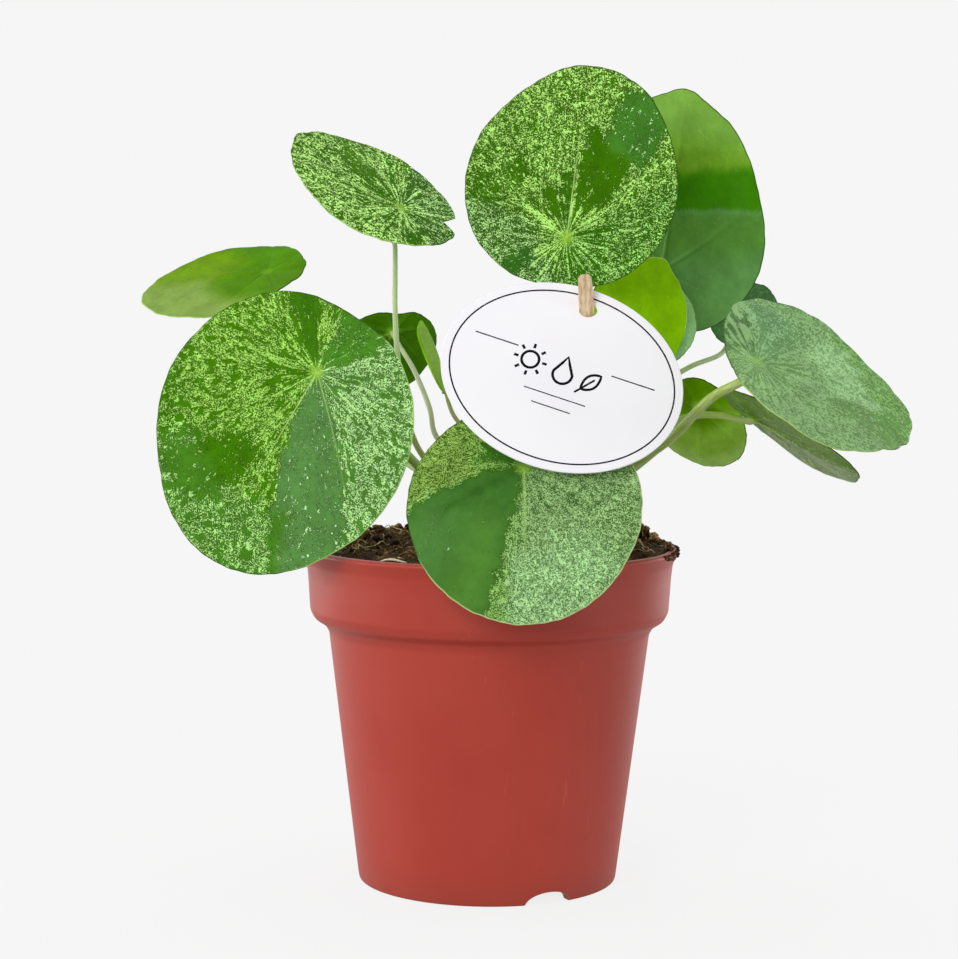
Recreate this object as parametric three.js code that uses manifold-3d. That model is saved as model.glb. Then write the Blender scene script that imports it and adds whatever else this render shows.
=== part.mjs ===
// Potted pilea: a thin plastic nursery pot with soil, one short main stem, fourteen round
// leaves on long petioles, and an oval label card on a wooden stick.
// Millimetres, +Z up. The origin is the middle of the pot's foot ring, on the ground, and
// the card side, which is the front, faces -Y.

import * as THREE from 'three';
import { mergeVertices } from 'three/addons/utils/BufferGeometryUtils.js';
import Module from 'manifold-3d';

const wasm = await Module();
wasm.setup();

// Driving dimensions.
const CLEAR = 0.3; // gap kept between pieces that touch
const POT_HEIGHT = 107;
const RIM_RADIUS = 60;
const BAND_RADIUS = 57.9;
const BAND_HEIGHT = 22; // from the rim's top down to the step under the band
const BODY_TOP_RADIUS = 50.8;
const FOOT_RADIUS = 41;
const WALL = 1.3;
const FLOOR_Z = 3; // underside of the pot's floor, inside the foot ring
const FLOOR_THICKNESS = 1.6;
const FOOT_RING_WIDTH = 3;
const NOTCH_WIDTH = 16;
const NOTCH_HEIGHT = 4;
const NOTCH_COUNT = 3;
const NOTCH_AZIMUTH = -62.5;
const DRAIN_COUNT = 6;
const DRAIN_RADIUS = 4;
const DRAIN_CIRCLE = 27;
const POT_SIDES = 48;

const SOIL_FRONT_Z = 103.5; // soil level against the wall at the front
const SOIL_BACK_RISE = 5; // how much higher it lies against the wall at the back
const SOIL_HEAP = 4; // how much the middle stands above the edge
const SOIL_SIDES = 40;

const STEM = { x: 6, y: 2, bottom: 88, top: 142, radius: 5, topRadius: 4.2 };

const BLADE_THICKNESS = 0.7;
const BLADE_SIDES = 28;
const BLADE_RINGS = 3;
const PETIOLE_SIDES = 6;
const PETIOLE_STEP = 9;

const CARD_WIDTH = 73;
const CARD_HEIGHT = 58;
const CARD_THICKNESS = 0.8;
const CARD_CENTRE = [20.5, -54.5, 163];
const CARD_LEAN = 22; // degrees back from upright
const CARD_TURN = -19; // degrees, in its own plane
const HOLE_RADIUS = 3.4;

const STICK_WIDTH = 4.9;
const STICK_THICKNESS = 1.6;
const STICK_LENGTH = 134;
const STICK_TOP = [27.1, -50, 193.7];
const STICK_RUN = [0.08, 0.3, -1]; // direction from its top down into the soil

// Leaves. "at" is where the petiole meets the blade. "azimuth" and "rise" give the direction
// from there to the leaf's tip, and "roll" turns the blade about that line. "base" is the part
// of the length that lies behind the petiole. "egg" narrows the tip half, "point" draws the
// tip out, "sinus" pulls the base end in, "bend" and "cup" curve the blade along and across,
// "fold" creases it along the middle, and "wave" lifts its edge. "node" is where the petiole
// leaves the stem: its azimuth and height. "via" are the points that it passes on its way down.
const LEAVES = [
  {
    name: 'leaf_a', colour: '#5f9a3c', at: [-53.5, -32, 163], azimuth: 180, rise: -60, roll: -68,
    length: 88, width: 85, base: 0.25, egg: -0.09, point: 0.3, sinus: 1.5, bend: -0.04, cup: 0.17,
    wave: 0.8, thick: 1.5, node: [205, 116], via: [[-27, -24, 134], [-14, -12, 121]],
  },
  {
    name: 'leaf_b', colour: '#6fa53c', at: [-29, 3, 214.5], azimuth: 174, rise: 31, roll: -26,
    length: 57, width: 55, base: 0.31, egg: -0.07, point: 1.3, sinus: -1.3, bend: 0.12, cup: -0.09,
    wave: 0.4, thick: 1.2, node: [178, 120.5],
    via: [[-31, 5, 201], [-30.5, 4, 178], [-28, 0, 157], [-21, -3, 136]],
  },
  {
    name: 'leaf_c', colour: '#5c9a25', at: [-78, 73, 194.5], azimuth: 180, rise: -14, roll: -26,
    length: 57, width: 52, base: 0.24, egg: -0.02, point: 1.8, sinus: -0.4, bend: 0.04, cup: 0,
    wave: 0.5, thick: 1.2, node: [140, 115.5], via: [[-62, 64, 152], [-38, 43, 130], [-16, 17, 119]],
  },
  {
    name: 'leaf_d', colour: '#5d9a48', at: [9.5, -58, 136.5], azimuth: -88, rise: -63, roll: 5.5,
    length: 69.5, width: 69, base: 0.29, egg: -0.08, point: 0, sinus: 0, bend: 0, cup: 0,
    wave: 0.7, thick: 1.4, node: [-95, 119], via: [[9, -44, 129], [7, -24, 122]],
  },
  {
    name: 'leaf_f', colour: '#3f7a12', at: [-33, 33, 175], azimuth: 117, rise: -53, roll: 3,
    length: 37, width: 36, base: 0.24, egg: -0.08, point: 1.5, sinus: 1.8, bend: -0.03, cup: 0.06,
    wave: 0.3, thick: 1.2, node: [160, 126], via: [[-24, 19, 162], [-17, 9, 143]],
  },
  {
    name: 'leaf_g', colour: '#66a03a', at: [23, -8, 205], azimuth: 11, rise: 84, roll: 52,
    length: 71, width: 73, base: 0.23, egg: -0.12, point: 0, sinus: 1, bend: -0.22, cup: 0.31,
    wave: 0.7, thick: 1.4, node: [-45, 136], via: [[25, 2, 190], [21, -2, 162], [14, -5, 143]],
  },
  {
    name: 'leaf_h', colour: '#3f7d2a', at: [58, 45, 196], azimuth: -70, rise: 73, roll: -62,
    length: 79.5, width: 76.5, base: 0.26, egg: -0.09, point: 2.3, sinus: 0, bend: 0, cup: 0,
    wave: 0.9, thick: 1.4, node: [52, 132], via: [[50, 35, 184], [36, 23, 157], [19, 13, 138]],
  },
  {
    name: 'leaf_i', colour: '#7bab10', at: [42.5, -2, 171.5], azimuth: 32, rise: 61, roll: 90,
    length: 41, width: 39, base: 0.28, egg: -0.05, point: 1.8, sinus: 0, bend: 0, cup: 0,
    wave: 0.4, thick: 1.1, node: [-10, 130.5], via: [[35, 3, 158], [22, 1, 138]],
  },
  {
    name: 'leaf_j', colour: '#6f9c5c', at: [52, 12, 172.5], azimuth: 34, rise: 69, roll: 72,
    length: 27.5, width: 26.5, base: 0.27, egg: 0, point: 1.5, sinus: 0, bend: 0, cup: 0,
    wave: 0.2, thick: 1.1, node: [20, 125], via: [[45, 14, 160], [27, 10, 139]],
  },
  {
    name: 'leaf_k', colour: '#78a565', at: [76.5, -70, 168.5], azimuth: 20, rise: -16, roll: 38,
    length: 65, width: 66, base: 0.17, egg: -0.21, point: 0.5, sinus: 1, bend: -0.11, cup: 0.26,
    wave: 0.6, thick: 1.4, node: [-52, 119.5],
    via: [[65, -50, 158], [53, -34, 143], [30, -17, 127]],
  },
  {
    name: 'leaf_l', colour: '#4f7f2c', at: [83, -8, 149.5], azimuth: -36, rise: -27, roll: -26,
    length: 50.5, width: 49, base: 0.23, egg: 0.02, point: 1.2, sinus: 0, bend: 0.15, cup: -0.08,
    wave: 0.3, thick: 1.3, lead: 2.5, node: [-14, 120],
    via: [[72, -10, 149], [61, -10, 148], [52, -8, 141], [30, -3, 126]],
  },
  {
    name: 'leaf_m', colour: '#5f8f1c', at: [69, 28, 151], azimuth: 80, rise: -59, roll: 17,
    length: 34.5, width: 33, base: 0.3, egg: 0.08, point: 0, sinus: -0.8, bend: 0.04, cup: -0.04,
    wave: 0.2, thick: 1.1, node: [20, 115.5], via: [[57, 18, 139], [36, 10, 124]],
  },
  {
    name: 'leaf_n', colour: '#6f9a62', at: [83, 58, 176.5], azimuth: 32, rise: 42, roll: 54,
    length: 26.5, width: 25.5, base: 0.27, egg: 0, point: 0.7, sinus: 0, bend: 0, cup: 0,
    wave: 0.2, thick: 1, node: [45, 120], via: [[79, 56, 168], [66, 42, 163], [44, 26, 150]],
  },
  {
    name: 'leaf_p', colour: '#86b452', at: [-15.5, 9, 157], azimuth: -140, rise: 80, roll: 150,
    length: 23, width: 8, base: 0.06, egg: 0.1, point: 1, sinus: 0, bend: 0.4, cup: 0,
    fold: 1.3, wave: 0, thick: 0.9, lead: 1.5, node: [150, 137], via: [[-11, 7, 149]],
  },
];

const degrees = THREE.MathUtils.degToRad;

function material(colour, roughness = 0.6) {
  return new THREE.MeshStandardMaterial({ color: colour, roughness, metalness: 0 });
}

function piece(name, geometry, look) {
  const mesh = new THREE.Mesh(geometry, look);
  mesh.name = name;
  return mesh;
}

function solid(geometry) {
  const bare = geometry.clone();
  bare.deleteAttribute('normal');
  bare.deleteAttribute('uv');
  const merged = mergeVertices(bare, 1e-4);
  return new wasm.Manifold(new wasm.Mesh({
    numProp: 3,
    vertProperties: new Float32Array(merged.attributes.position.array),
    triVerts: new Uint32Array(merged.index.array),
  }));
}

function fromSolid(body) {
  const mesh = body.getMesh();
  const geometry = new THREE.BufferGeometry();
  geometry.setAttribute('position', new THREE.BufferAttribute(mesh.vertProperties, 3));
  geometry.setIndex(new THREE.BufferAttribute(mesh.triVerts, 1));
  return geometry;
}

function cut(geometry, tools) {
  return fromSolid(tools.reduce((body, tool) => body.subtract(solid(tool)), solid(geometry)));
}

// A turned body from [radius, height] points that start and end on the axis.
function turned(profile, sides) {
  const points = profile.map(([radius, height]) => new THREE.Vector2(radius, height));
  return new THREE.LatheGeometry(points, sides).rotateX(Math.PI / 2);
}

function upright(radius, bottom, top, sides) {
  return new THREE.CylinderGeometry(radius, radius, top - bottom, sides)
    .rotateX(Math.PI / 2)
    .translate(0, 0, (top + bottom) / 2);
}

// Pot: a thin moulded cup with a deep band under its lip and a notched foot ring.

const BAND_BOTTOM = POT_HEIGHT - BAND_HEIGHT;
const STEP_BOTTOM = BAND_BOTTOM - 5;

function potProfile() {
  const foot = FOOT_RADIUS - 1.5;
  const footInside = foot - FOOT_RING_WIDTH;
  const inside = BODY_TOP_RADIUS - WALL;
  const floorTop = FLOOR_Z + FLOOR_THICKNESS;
  return [
    [0, FLOOR_Z], [footInside, FLOOR_Z], [footInside, 0], [foot, 0], [foot + 1.1, 0.5],
    [FOOT_RADIUS, 2], [BODY_TOP_RADIUS, STEP_BOTTOM], [BODY_TOP_RADIUS + 1.5, STEP_BOTTOM + 2.4],
    [BAND_RADIUS - 2, BAND_BOTTOM - 0.6], [BAND_RADIUS - 0.7, BAND_BOTTOM + 2],
    [BAND_RADIUS, POT_HEIGHT - 2.9], [RIM_RADIUS - 0.4, POT_HEIGHT - 2.3],
    [RIM_RADIUS, POT_HEIGHT - 1.6], [RIM_RADIUS, POT_HEIGHT - 0.6],
    [RIM_RADIUS - 0.6, POT_HEIGHT], [BAND_RADIUS - WALL + 0.6, POT_HEIGHT],
    [BAND_RADIUS - WALL, POT_HEIGHT - 0.8], [BAND_RADIUS - WALL - 0.6, BAND_BOTTOM + 3],
    [BAND_RADIUS - WALL - 2.2, BAND_BOTTOM + 1], [inside + 1.2, STEP_BOTTOM + 3],
    [inside, STEP_BOTTOM], [FOOT_RADIUS - WALL, floorTop + 1.5],
    [FOOT_RADIUS - WALL - 1.5, floorTop], [0, floorTop],
  ];
}

function notchCut(azimuth) {
  const arch = new THREE.CylinderGeometry(NOTCH_WIDTH / 2, NOTCH_WIDTH / 2, 12, 20)
    .rotateZ(Math.PI / 2)
    .scale(1, 1, NOTCH_HEIGHT / (NOTCH_WIDTH / 2))
    .translate(FOOT_RADIUS - 1, 0, 0);
  return arch.rotateZ(degrees(azimuth));
}

function drainCut(azimuth) {
  return upright(DRAIN_RADIUS, 0, FLOOR_Z + 4, 16)
    .translate(DRAIN_CIRCLE, 0, 0)
    .rotateZ(degrees(azimuth));
}

function ring(count, start, make) {
  return Array.from({ length: count }, (_, i) => make(start + (i * 360) / count));
}

function pot() {
  const cuts = [
    ...ring(NOTCH_COUNT, NOTCH_AZIMUTH, notchCut),
    ...ring(DRAIN_COUNT, 0, drainCut),
  ];
  return cut(turned(potProfile(), POT_SIDES), cuts);
}

// Soil: a filling that follows the pot's inside, with a heaped, lumpy top.

function soilTop(x, y) {
  const out = Math.hypot(x, y) / (BAND_RADIUS - WALL);
  const back = 0.5 + (0.42 * y + 0.22 * x) / BAND_RADIUS;
  const lumps = 0.9 * Math.sin(x / 5.1 + 1.3) * Math.cos(y / 6.3 - 0.4)
    + 0.6 * Math.sin((x + y) / 3.4) * Math.cos((x - 2 * y) / 5.7);
  return SOIL_FRONT_Z + SOIL_BACK_RISE * back + SOIL_HEAP * (1 - out ** 4) + lumps;
}

function soilBody() {
  const inset = WALL + CLEAR;
  const bodyTop = BODY_TOP_RADIUS - inset;
  const floor = FLOOR_Z + FLOOR_THICKNESS + CLEAR;
  const side = [
    [FOOT_RADIUS - inset - 1.7, floor], [FOOT_RADIUS - inset - 0.1, floor + 1.8],
    [bodyTop - 0.1, STEP_BOTTOM], [bodyTop + 1.1, STEP_BOTTOM + 3.3],
    [BAND_RADIUS - inset - 2.3, BAND_BOTTOM + 1.5], [BAND_RADIUS - inset - 0.8, BAND_BOTTOM + 3.6],
  ];
  const topRadius = BAND_RADIUS - inset - 0.3;
  const rings = [1, 0.93, 0.8, 0.62, 0.42, 0.22];
  const vertices = [0, 0, floor];
  const turn = (i) => (i * 2 * Math.PI) / SOIL_SIDES;
  for (const [radius, z] of side) {
    for (let i = 0; i < SOIL_SIDES; i += 1) {
      vertices.push(radius * Math.cos(turn(i)), radius * Math.sin(turn(i)), z);
    }
  }
  for (const share of rings) {
    for (let i = 0; i < SOIL_SIDES; i += 1) {
      const x = topRadius * share * Math.cos(turn(i));
      const y = topRadius * share * Math.sin(turn(i));
      vertices.push(x, y, soilTop(x, y));
    }
  }
  vertices.push(0, 0, soilTop(0, 0));
  return closedFromRings(vertices, side.length + rings.length, SOIL_SIDES);
}

// A closed body from a first point, rings of points and a last point.
function closedFromRings(vertices, ringCount, sides) {
  const faces = [];
  const at = (r, i) => 1 + r * sides + (i % sides);
  const last = 1 + ringCount * sides;
  for (let i = 0; i < sides; i += 1) {
    faces.push(0, at(0, i + 1), at(0, i));
    faces.push(last, at(ringCount - 1, i), at(ringCount - 1, i + 1));
  }
  for (let r = 0; r < ringCount - 1; r += 1) {
    for (let i = 0; i < sides; i += 1) {
      faces.push(at(r, i), at(r, i + 1), at(r + 1, i + 1));
      faces.push(at(r, i), at(r + 1, i + 1), at(r + 1, i));
    }
  }
  const geometry = new THREE.BufferGeometry();
  geometry.setAttribute('position', new THREE.Float32BufferAttribute(vertices, 3));
  geometry.setIndex(faces);
  return geometry;
}

function stickPlacement() {
  const run = new THREE.Vector3(...STICK_RUN).normalize();
  const across = new THREE.Vector3(0, 1, 0).cross(run).normalize();
  const depth = new THREE.Vector3().crossVectors(across, run);
  return new THREE.Matrix4().makeBasis(across, run, depth).setPosition(...STICK_TOP);
}

// Flat stick, drawn with its top end at the origin and its length along +Y: rounded at the
// top, and tapered at the end that stands in the soil.
function stickShape(grow) {
  const half = STICK_WIDTH / 2 + grow;
  const end = STICK_LENGTH + grow;
  const shape = new THREE.Shape();
  shape.moveTo(-half, half);
  shape.absarc(0, half, half, Math.PI, 2 * Math.PI, false);
  shape.lineTo(half, end - 9);
  shape.lineTo(0.8 + grow, end);
  shape.lineTo(-0.8 - grow, end);
  shape.lineTo(-half, end - 9);
  shape.closePath();
  return shape;
}

function stickBody(grow = 0) {
  const depth = STICK_THICKNESS + 2 * grow;
  return new THREE.ExtrudeGeometry(stickShape(grow), { depth, bevelEnabled: false, curveSegments: 10 })
    .translate(0, 0, -depth / 2)
    .applyMatrix4(stickPlacement());
}

function soil() {
  const stemHole = upright(STEM.radius + CLEAR, STEM.bottom - CLEAR, POT_HEIGHT + 30, 20)
    .translate(STEM.x, STEM.y, 0);
  return cut(soilBody(), [stemHole, stickBody(CLEAR)]);
}

// Main stem: slightly tapered, with a blunt growing end.

function stemRadius(z) {
  const share = (z - POT_HEIGHT) / (STEM.top - POT_HEIGHT);
  return THREE.MathUtils.lerp(STEM.radius, STEM.topRadius, THREE.MathUtils.clamp(share, 0, 1));
}

function stem() {
  const profile = [
    [0, STEM.bottom], [STEM.radius - 1, STEM.bottom], [STEM.radius, STEM.bottom + 2],
    [STEM.radius, POT_HEIGHT], [STEM.topRadius, STEM.top - 2],
    [STEM.topRadius - 1.4, STEM.top - 0.4], [0, STEM.top],
  ];
  return turned(profile, 16).translate(STEM.x, STEM.y, 0);
}

// Leaf blades.

// The directions of a blade: along its midrib, across it, and up out of its upper face.
function bladeAxes(leaf) {
  const azimuth = degrees(leaf.azimuth);
  const rise = degrees(leaf.rise);
  const along = new THREE.Vector3(
    Math.cos(azimuth) * Math.cos(rise), Math.sin(azimuth) * Math.cos(rise), Math.sin(rise),
  );
  const level = new THREE.Vector3(
    -Math.cos(azimuth) * Math.sin(rise), -Math.sin(azimuth) * Math.sin(rise), Math.cos(rise),
  );
  const side = new THREE.Vector3().crossVectors(along, level);
  const roll = degrees(leaf.roll);
  const up = level.clone().multiplyScalar(Math.cos(roll)).addScaledVector(side, Math.sin(roll));
  const across = side.multiplyScalar(Math.cos(roll)).addScaledVector(level, -Math.sin(roll));
  return { along, across, up };
}

// The edge of a blade, as [across, along] from the petiole, at an angle from the tip.
function bladeEdge(leaf, angle) {
  const half = leaf.length / 2;
  const fromTip = Math.atan2(Math.sin(angle), Math.cos(angle));
  const fromBase = Math.atan2(Math.sin(angle - Math.PI), Math.cos(angle - Math.PI));
  const along = half * Math.cos(angle) + leaf.point * Math.exp(-((fromTip / 0.22) ** 2))
    + leaf.sinus * Math.exp(-((fromBase / 0.25) ** 2)) + (0.5 - leaf.base) * leaf.length;
  const across = (leaf.width / 2) * Math.sin(angle) * (1 + leaf.egg * Math.cos(angle));
  return [across, along];
}

// The height of a blade's upper face over its flat plane.
function bladeHeight(leaf, angle, share) {
  const [across, along] = bladeEdge(leaf, angle).map((value) => value * share);
  return leaf.bend * 0.5 * along ** 2 / leaf.length
    + leaf.cup * 0.5 * across ** 2 / leaf.width
    + (leaf.fold ?? 0) * Math.abs(across)
    + leaf.wave * share ** 3 * Math.sin(5 * angle + leaf.length);
}

function bladePoint(leaf, angle, share) {
  const [across, along] = bladeEdge(leaf, angle);
  return new THREE.Vector3(across * share, along * share, bladeHeight(leaf, angle, share));
}

function bladeNormal(leaf, angle, share) {
  const step = 0.01;
  const out = bladePoint(leaf, angle, share + step).sub(bladePoint(leaf, angle, share - step));
  const round = bladePoint(leaf, angle - step, share).sub(bladePoint(leaf, angle + step, share));
  const normal = out.cross(round).negate().normalize();
  return normal.z < 0 ? normal.negate() : normal;
}

function blade(leaf) {
  const top = [new THREE.Vector3()];
  const under = [new THREE.Vector3(0, 0, -BLADE_THICKNESS)];
  for (let r = 1; r <= BLADE_RINGS; r += 1) {
    for (let i = 0; i < BLADE_SIDES; i += 1) {
      const angle = -(i * 2 * Math.PI) / BLADE_SIDES;
      const share = (r / BLADE_RINGS) ** 0.85;
      const point = bladePoint(leaf, angle, share);
      const down = bladeNormal(leaf, angle, share).multiplyScalar(-BLADE_THICKNESS);
      top.push(point);
      under.push(point.clone().add(down));
    }
  }
  // One ring after another: from the underside's middle out to the edge, and back in on top.
  const rings = [under[0]];
  const ringOf = (points, r) => points.slice(1 + (r - 1) * BLADE_SIDES, 1 + r * BLADE_SIDES);
  for (let r = 1; r <= BLADE_RINGS; r += 1) rings.push(...ringOf(under, r));
  for (let r = BLADE_RINGS; r >= 1; r -= 1) rings.push(...ringOf(top, r));
  rings.push(top[0]);
  const { along, across, up } = bladeAxes(leaf);
  const geometry = closedFromRings(rings.flatMap((p) => [p.x, p.y, p.z]), 2 * BLADE_RINGS, BLADE_SIDES);
  const frame = new THREE.Matrix4().makeBasis(across, along, up).setPosition(...leaf.at);
  return geometry.applyMatrix4(frame);
}

// Petioles.

function petioleRoute(leaf) {
  const [azimuth, z] = leaf.node;
  const out = new THREE.Vector3(Math.cos(degrees(azimuth)), Math.sin(degrees(azimuth)), 0);
  const start = new THREE.Vector3(STEM.x, STEM.y, z).addScaledVector(out, stemRadius(z) + CLEAR);
  const leave = start.clone().addScaledVector(out, 3);
  const { up } = bladeAxes(leaf);
  const end = new THREE.Vector3(...leaf.at).addScaledVector(up, -BLADE_THICKNESS - CLEAR);
  const arrive = end.clone().addScaledVector(up, -(leaf.lead ?? 5));
  const via = leaf.via.map((point) => new THREE.Vector3(...point));
  return new THREE.CatmullRomCurve3([end, arrive, ...via, leave, start], false, 'centripetal');
}

function petiole(leaf) {
  const route = petioleRoute(leaf);
  const steps = Math.max(6, Math.round(route.getLength() / PETIOLE_STEP));
  const frames = route.computeFrenetFrames(steps);
  const start = route.getPointAt(0);
  const vertices = [start.x, start.y, start.z];
  for (let s = 0; s <= steps; s += 1) {
    const share = s / steps;
    const middle = route.getPointAt(share);
    const radius = leaf.thick * THREE.MathUtils.lerp(0.8, 1.05, share);
    for (let i = 0; i < PETIOLE_SIDES; i += 1) {
      const angle = (i * 2 * Math.PI) / PETIOLE_SIDES;
      const point = middle.clone()
        .addScaledVector(frames.normals[s], radius * Math.cos(angle))
        .addScaledVector(frames.binormals[s], radius * Math.sin(angle));
      vertices.push(point.x, point.y, point.z);
    }
  }
  const end = route.getPointAt(1);
  vertices.push(end.x, end.y, end.z);
  return closedFromRings(vertices, steps + 1, PETIOLE_SIDES);
}

// Label card: an oval card that leans back on the stick, which passes through its hole.

function cardPlacement() {
  const lean = new THREE.Matrix4().makeRotationX(degrees(90 - CARD_LEAN));
  const turn = new THREE.Matrix4().makeRotationZ(degrees(CARD_TURN));
  return new THREE.Matrix4().makeTranslation(...CARD_CENTRE).multiply(lean).multiply(turn);
}

// Where the stick's middle line crosses the card, in the card's own plane.
function cardHole() {
  const toCard = cardPlacement().invert();
  const top = new THREE.Vector3(...STICK_TOP).applyMatrix4(toCard);
  const run = new THREE.Vector3(...STICK_RUN).transformDirection(toCard);
  const crossing = top.addScaledVector(run, -top.z / run.z);
  return [crossing.x, crossing.y];
}

function card() {
  const shape = new THREE.Shape();
  shape.absellipse(0, 0, CARD_WIDTH / 2, CARD_HEIGHT / 2, 0, 2 * Math.PI, false);
  const hole = new THREE.Path();
  hole.absarc(...cardHole(), HOLE_RADIUS, 0, 2 * Math.PI, true);
  shape.holes.push(hole);
  const options = { depth: CARD_THICKNESS, bevelEnabled: false, curveSegments: 32 };
  return new THREE.ExtrudeGeometry(shape, options)
    .translate(0, 0, -CARD_THICKNESS / 2)
    .applyMatrix4(cardPlacement());
}

const plant = new THREE.Group();
plant.add(piece('pot', pot(), material('#aa4435', 0.45)));
plant.add(piece('soil', soil(), material('#2c1c12', 0.95)));
plant.add(piece('main_stem', stem(), material('#7a7344', 0.8)));
for (const leaf of LEAVES) {
  plant.add(piece(leaf.name, blade(leaf), material(leaf.colour, 0.45)));
  plant.add(piece(leaf.name.replace('leaf', 'petiole'), petiole(leaf), material('#a7b077', 0.6)));
}
plant.add(piece('label_card', card(), material('#f6f4f7', 0.7)));
plant.add(piece('label_stick', stickBody(), material('#caae86', 0.8)));

export default plant;
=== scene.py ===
# Potted pilea: a thin plastic nursery pot with soil, one short woody stem, fourteen round
# leaves on long stalks, and an oval label card on a wooden stick. Sizes are in millimetres
# until they reach a mesh, +Z is up, and the card side, which is the front, faces -Y.

from math import cos, exp, hypot, pi, radians, sin, sqrt, tau

import bpy
import numpy as np
from mathutils import Matrix, Vector, noise


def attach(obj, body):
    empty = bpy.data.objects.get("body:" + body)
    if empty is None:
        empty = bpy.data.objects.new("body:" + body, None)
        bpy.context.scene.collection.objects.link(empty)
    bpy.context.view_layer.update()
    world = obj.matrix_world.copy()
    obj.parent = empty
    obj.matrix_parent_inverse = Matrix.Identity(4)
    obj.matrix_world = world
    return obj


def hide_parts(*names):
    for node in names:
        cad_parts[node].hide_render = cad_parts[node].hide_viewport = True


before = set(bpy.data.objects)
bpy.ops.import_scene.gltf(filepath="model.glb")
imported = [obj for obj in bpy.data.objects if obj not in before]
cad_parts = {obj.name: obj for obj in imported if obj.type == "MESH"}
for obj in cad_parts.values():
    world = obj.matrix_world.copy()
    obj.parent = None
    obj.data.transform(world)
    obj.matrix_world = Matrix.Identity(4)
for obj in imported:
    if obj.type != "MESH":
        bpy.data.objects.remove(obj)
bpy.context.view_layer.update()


# Pot. One thin cup of terracotta-coloured polypropylene, injection moulded in one shot, with
# a deep band under its rolled lip, a ring to stand on and six drain holes in its floor. Three
# low arches through the ring let water and air out.

MM = 0.001
POT_HEIGHT = 107
RIM_RADIUS = 60
BAND_RADIUS = 57.9
BAND_BOTTOM = 85
STEP_BOTTOM = 80
BODY_TOP_RADIUS = 51.2
FOOT_RADIUS = 41.4
WALL = 1.3
FLOOR_Z = 3
FLOOR_TOP = 4.6
POT_SIDES = 240
ARCHES, FIRST_ARCH, ARCH_HALF_WIDTH, ARCH_HEIGHT = 3, -62.5, 8, 4
DRAIN_HOLES, DRAIN_CIRCLE, DRAIN_RADIUS = 6, 27, 4


def light_of(colours):
    """Colours as a painter reads them, 0 to 255, turned into the light values Blender wants."""
    share = np.clip(colours, 0, 255) / 255
    return np.where(share <= 0.04045, share / 12.92, ((share + 0.055) / 1.055) ** 2.4)


def linear(*colour):
    return (*light_of(colour), 1)


def plug(tree, socket, value):
    """A value set on a socket, or another socket linked to it."""
    if isinstance(value, bpy.types.NodeSocket):
        tree.links.new(value, socket)
    elif value is not None:
        socket.default_value = value


def add(tree, kind, inputs=None, **settings):
    """A shader node with its settings, and its inputs set or linked by name or number."""
    node = tree.nodes.new("ShaderNode" + kind)
    for name, value in settings.items():
        setattr(node, name, value)
    for name, value in (inputs or {}).items():
        plug(tree, node.inputs[name], value)
    return node


def sum_of(tree, operation, first, second=None, third=None, clamp=False):
    """One step of arithmetic on values."""
    inputs = {0: first, 1: second, 2: third}
    return add(tree, "Math", inputs, operation=operation, use_clamp=clamp).outputs[0]


def times(tree, first, second, clamp=False):
    return sum_of(tree, "MULTIPLY", first, second, clamp=clamp)


def vector_of(tree, operation, first, second=None, scale=None):
    """One step of arithmetic on vectors."""
    inputs = {0: first, 1: second}
    if scale is not None:
        inputs["Scale"] = scale
    node = add(tree, "VectorMath", inputs, operation=operation)
    return node.outputs["Value" if operation == "LENGTH" else "Vector"]


def stepped(tree, value, low, high, to_low=0, to_high=1):
    """The value's smooth way from low to high, given as a share from to_low to to_high."""
    inputs = {"Value": value, "From Min": low, "From Max": high, "To Min": to_low, "To Max": to_high}
    return add(tree, "MapRange", inputs, interpolation_type="SMOOTHSTEP").outputs[0]


def blended(tree, share, first, second, way="MIX"):
    """Two colours mixed by a share."""
    node = add(tree, "Mix", {0: share, 6: first, 7: second}, data_type="RGBA", blend_type=way)
    return node.outputs[2]


def grain(tree, place, scale, detail=2, roughness=0.5, distortion=0):
    """Noise between about 0.3 and 0.7, with its middle at 0.5."""
    inputs = {"Vector": place, "Scale": scale, "Detail": detail, "Roughness": roughness,
              "Distortion": distortion}
    return add(tree, "TexNoise", inputs).outputs[0]


def painted(tree, name, kind="Fac"):
    """What the mesh carries under that name, as a Color, a Vector or a Fac."""
    return add(tree, "Attribute", attribute_name=name).outputs[kind]


def place_on(tree):
    """Where on the plant each spot lies."""
    return add(tree, "NewGeometry").outputs["Position"]


def part_of(tree, vector, axis):
    return add(tree, "SeparateXYZ", {0: vector}).outputs[axis]


def new_group(name, inputs, outputs):
    """An empty shader node group with named inputs and outputs."""
    tree = bpy.data.node_groups.new(name, "ShaderNodeTree")
    for label, kind, value in inputs:
        socket = tree.interface.new_socket(label, in_out="INPUT", socket_type="NodeSocket" + kind)
        if value is not None:
            socket.default_value = value
    for label, kind in outputs:
        tree.interface.new_socket(label, in_out="OUTPUT", socket_type="NodeSocket" + kind)
    given = tree.nodes.new("NodeGroupInput").outputs
    made = tree.nodes.new("NodeGroupOutput").inputs
    return tree, given, made


def placed(tree, group, inputs):
    """A node group placed in a material, with its own values."""
    node = add(tree, "Group", node_tree=group)
    for name, value in inputs.items():
        plug(tree, node.inputs[name], value)
    return node.outputs


def new_material(name):
    material = bpy.data.materials.new(name)
    material.use_nodes = True
    material.node_tree.nodes.clear()
    return material, material.node_tree


def finished(tree, height=None, bump=0, depth=0.0001, **inputs):
    """The Principled shader of a material, with a bump where a height is given."""
    shader = add(tree, "BsdfPrincipled")
    for name, value in inputs.items():
        plug(tree, shader.inputs[name.replace("_", " ")], value)
    if height is not None:
        bumps = {"Height": height, "Strength": bump, "Distance": depth}
        plug(tree, shader.inputs["Normal"], add(tree, "Bump", bumps).outputs[0])
    add(tree, "OutputMaterial", {"Surface": shader.outputs[0]})


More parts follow.
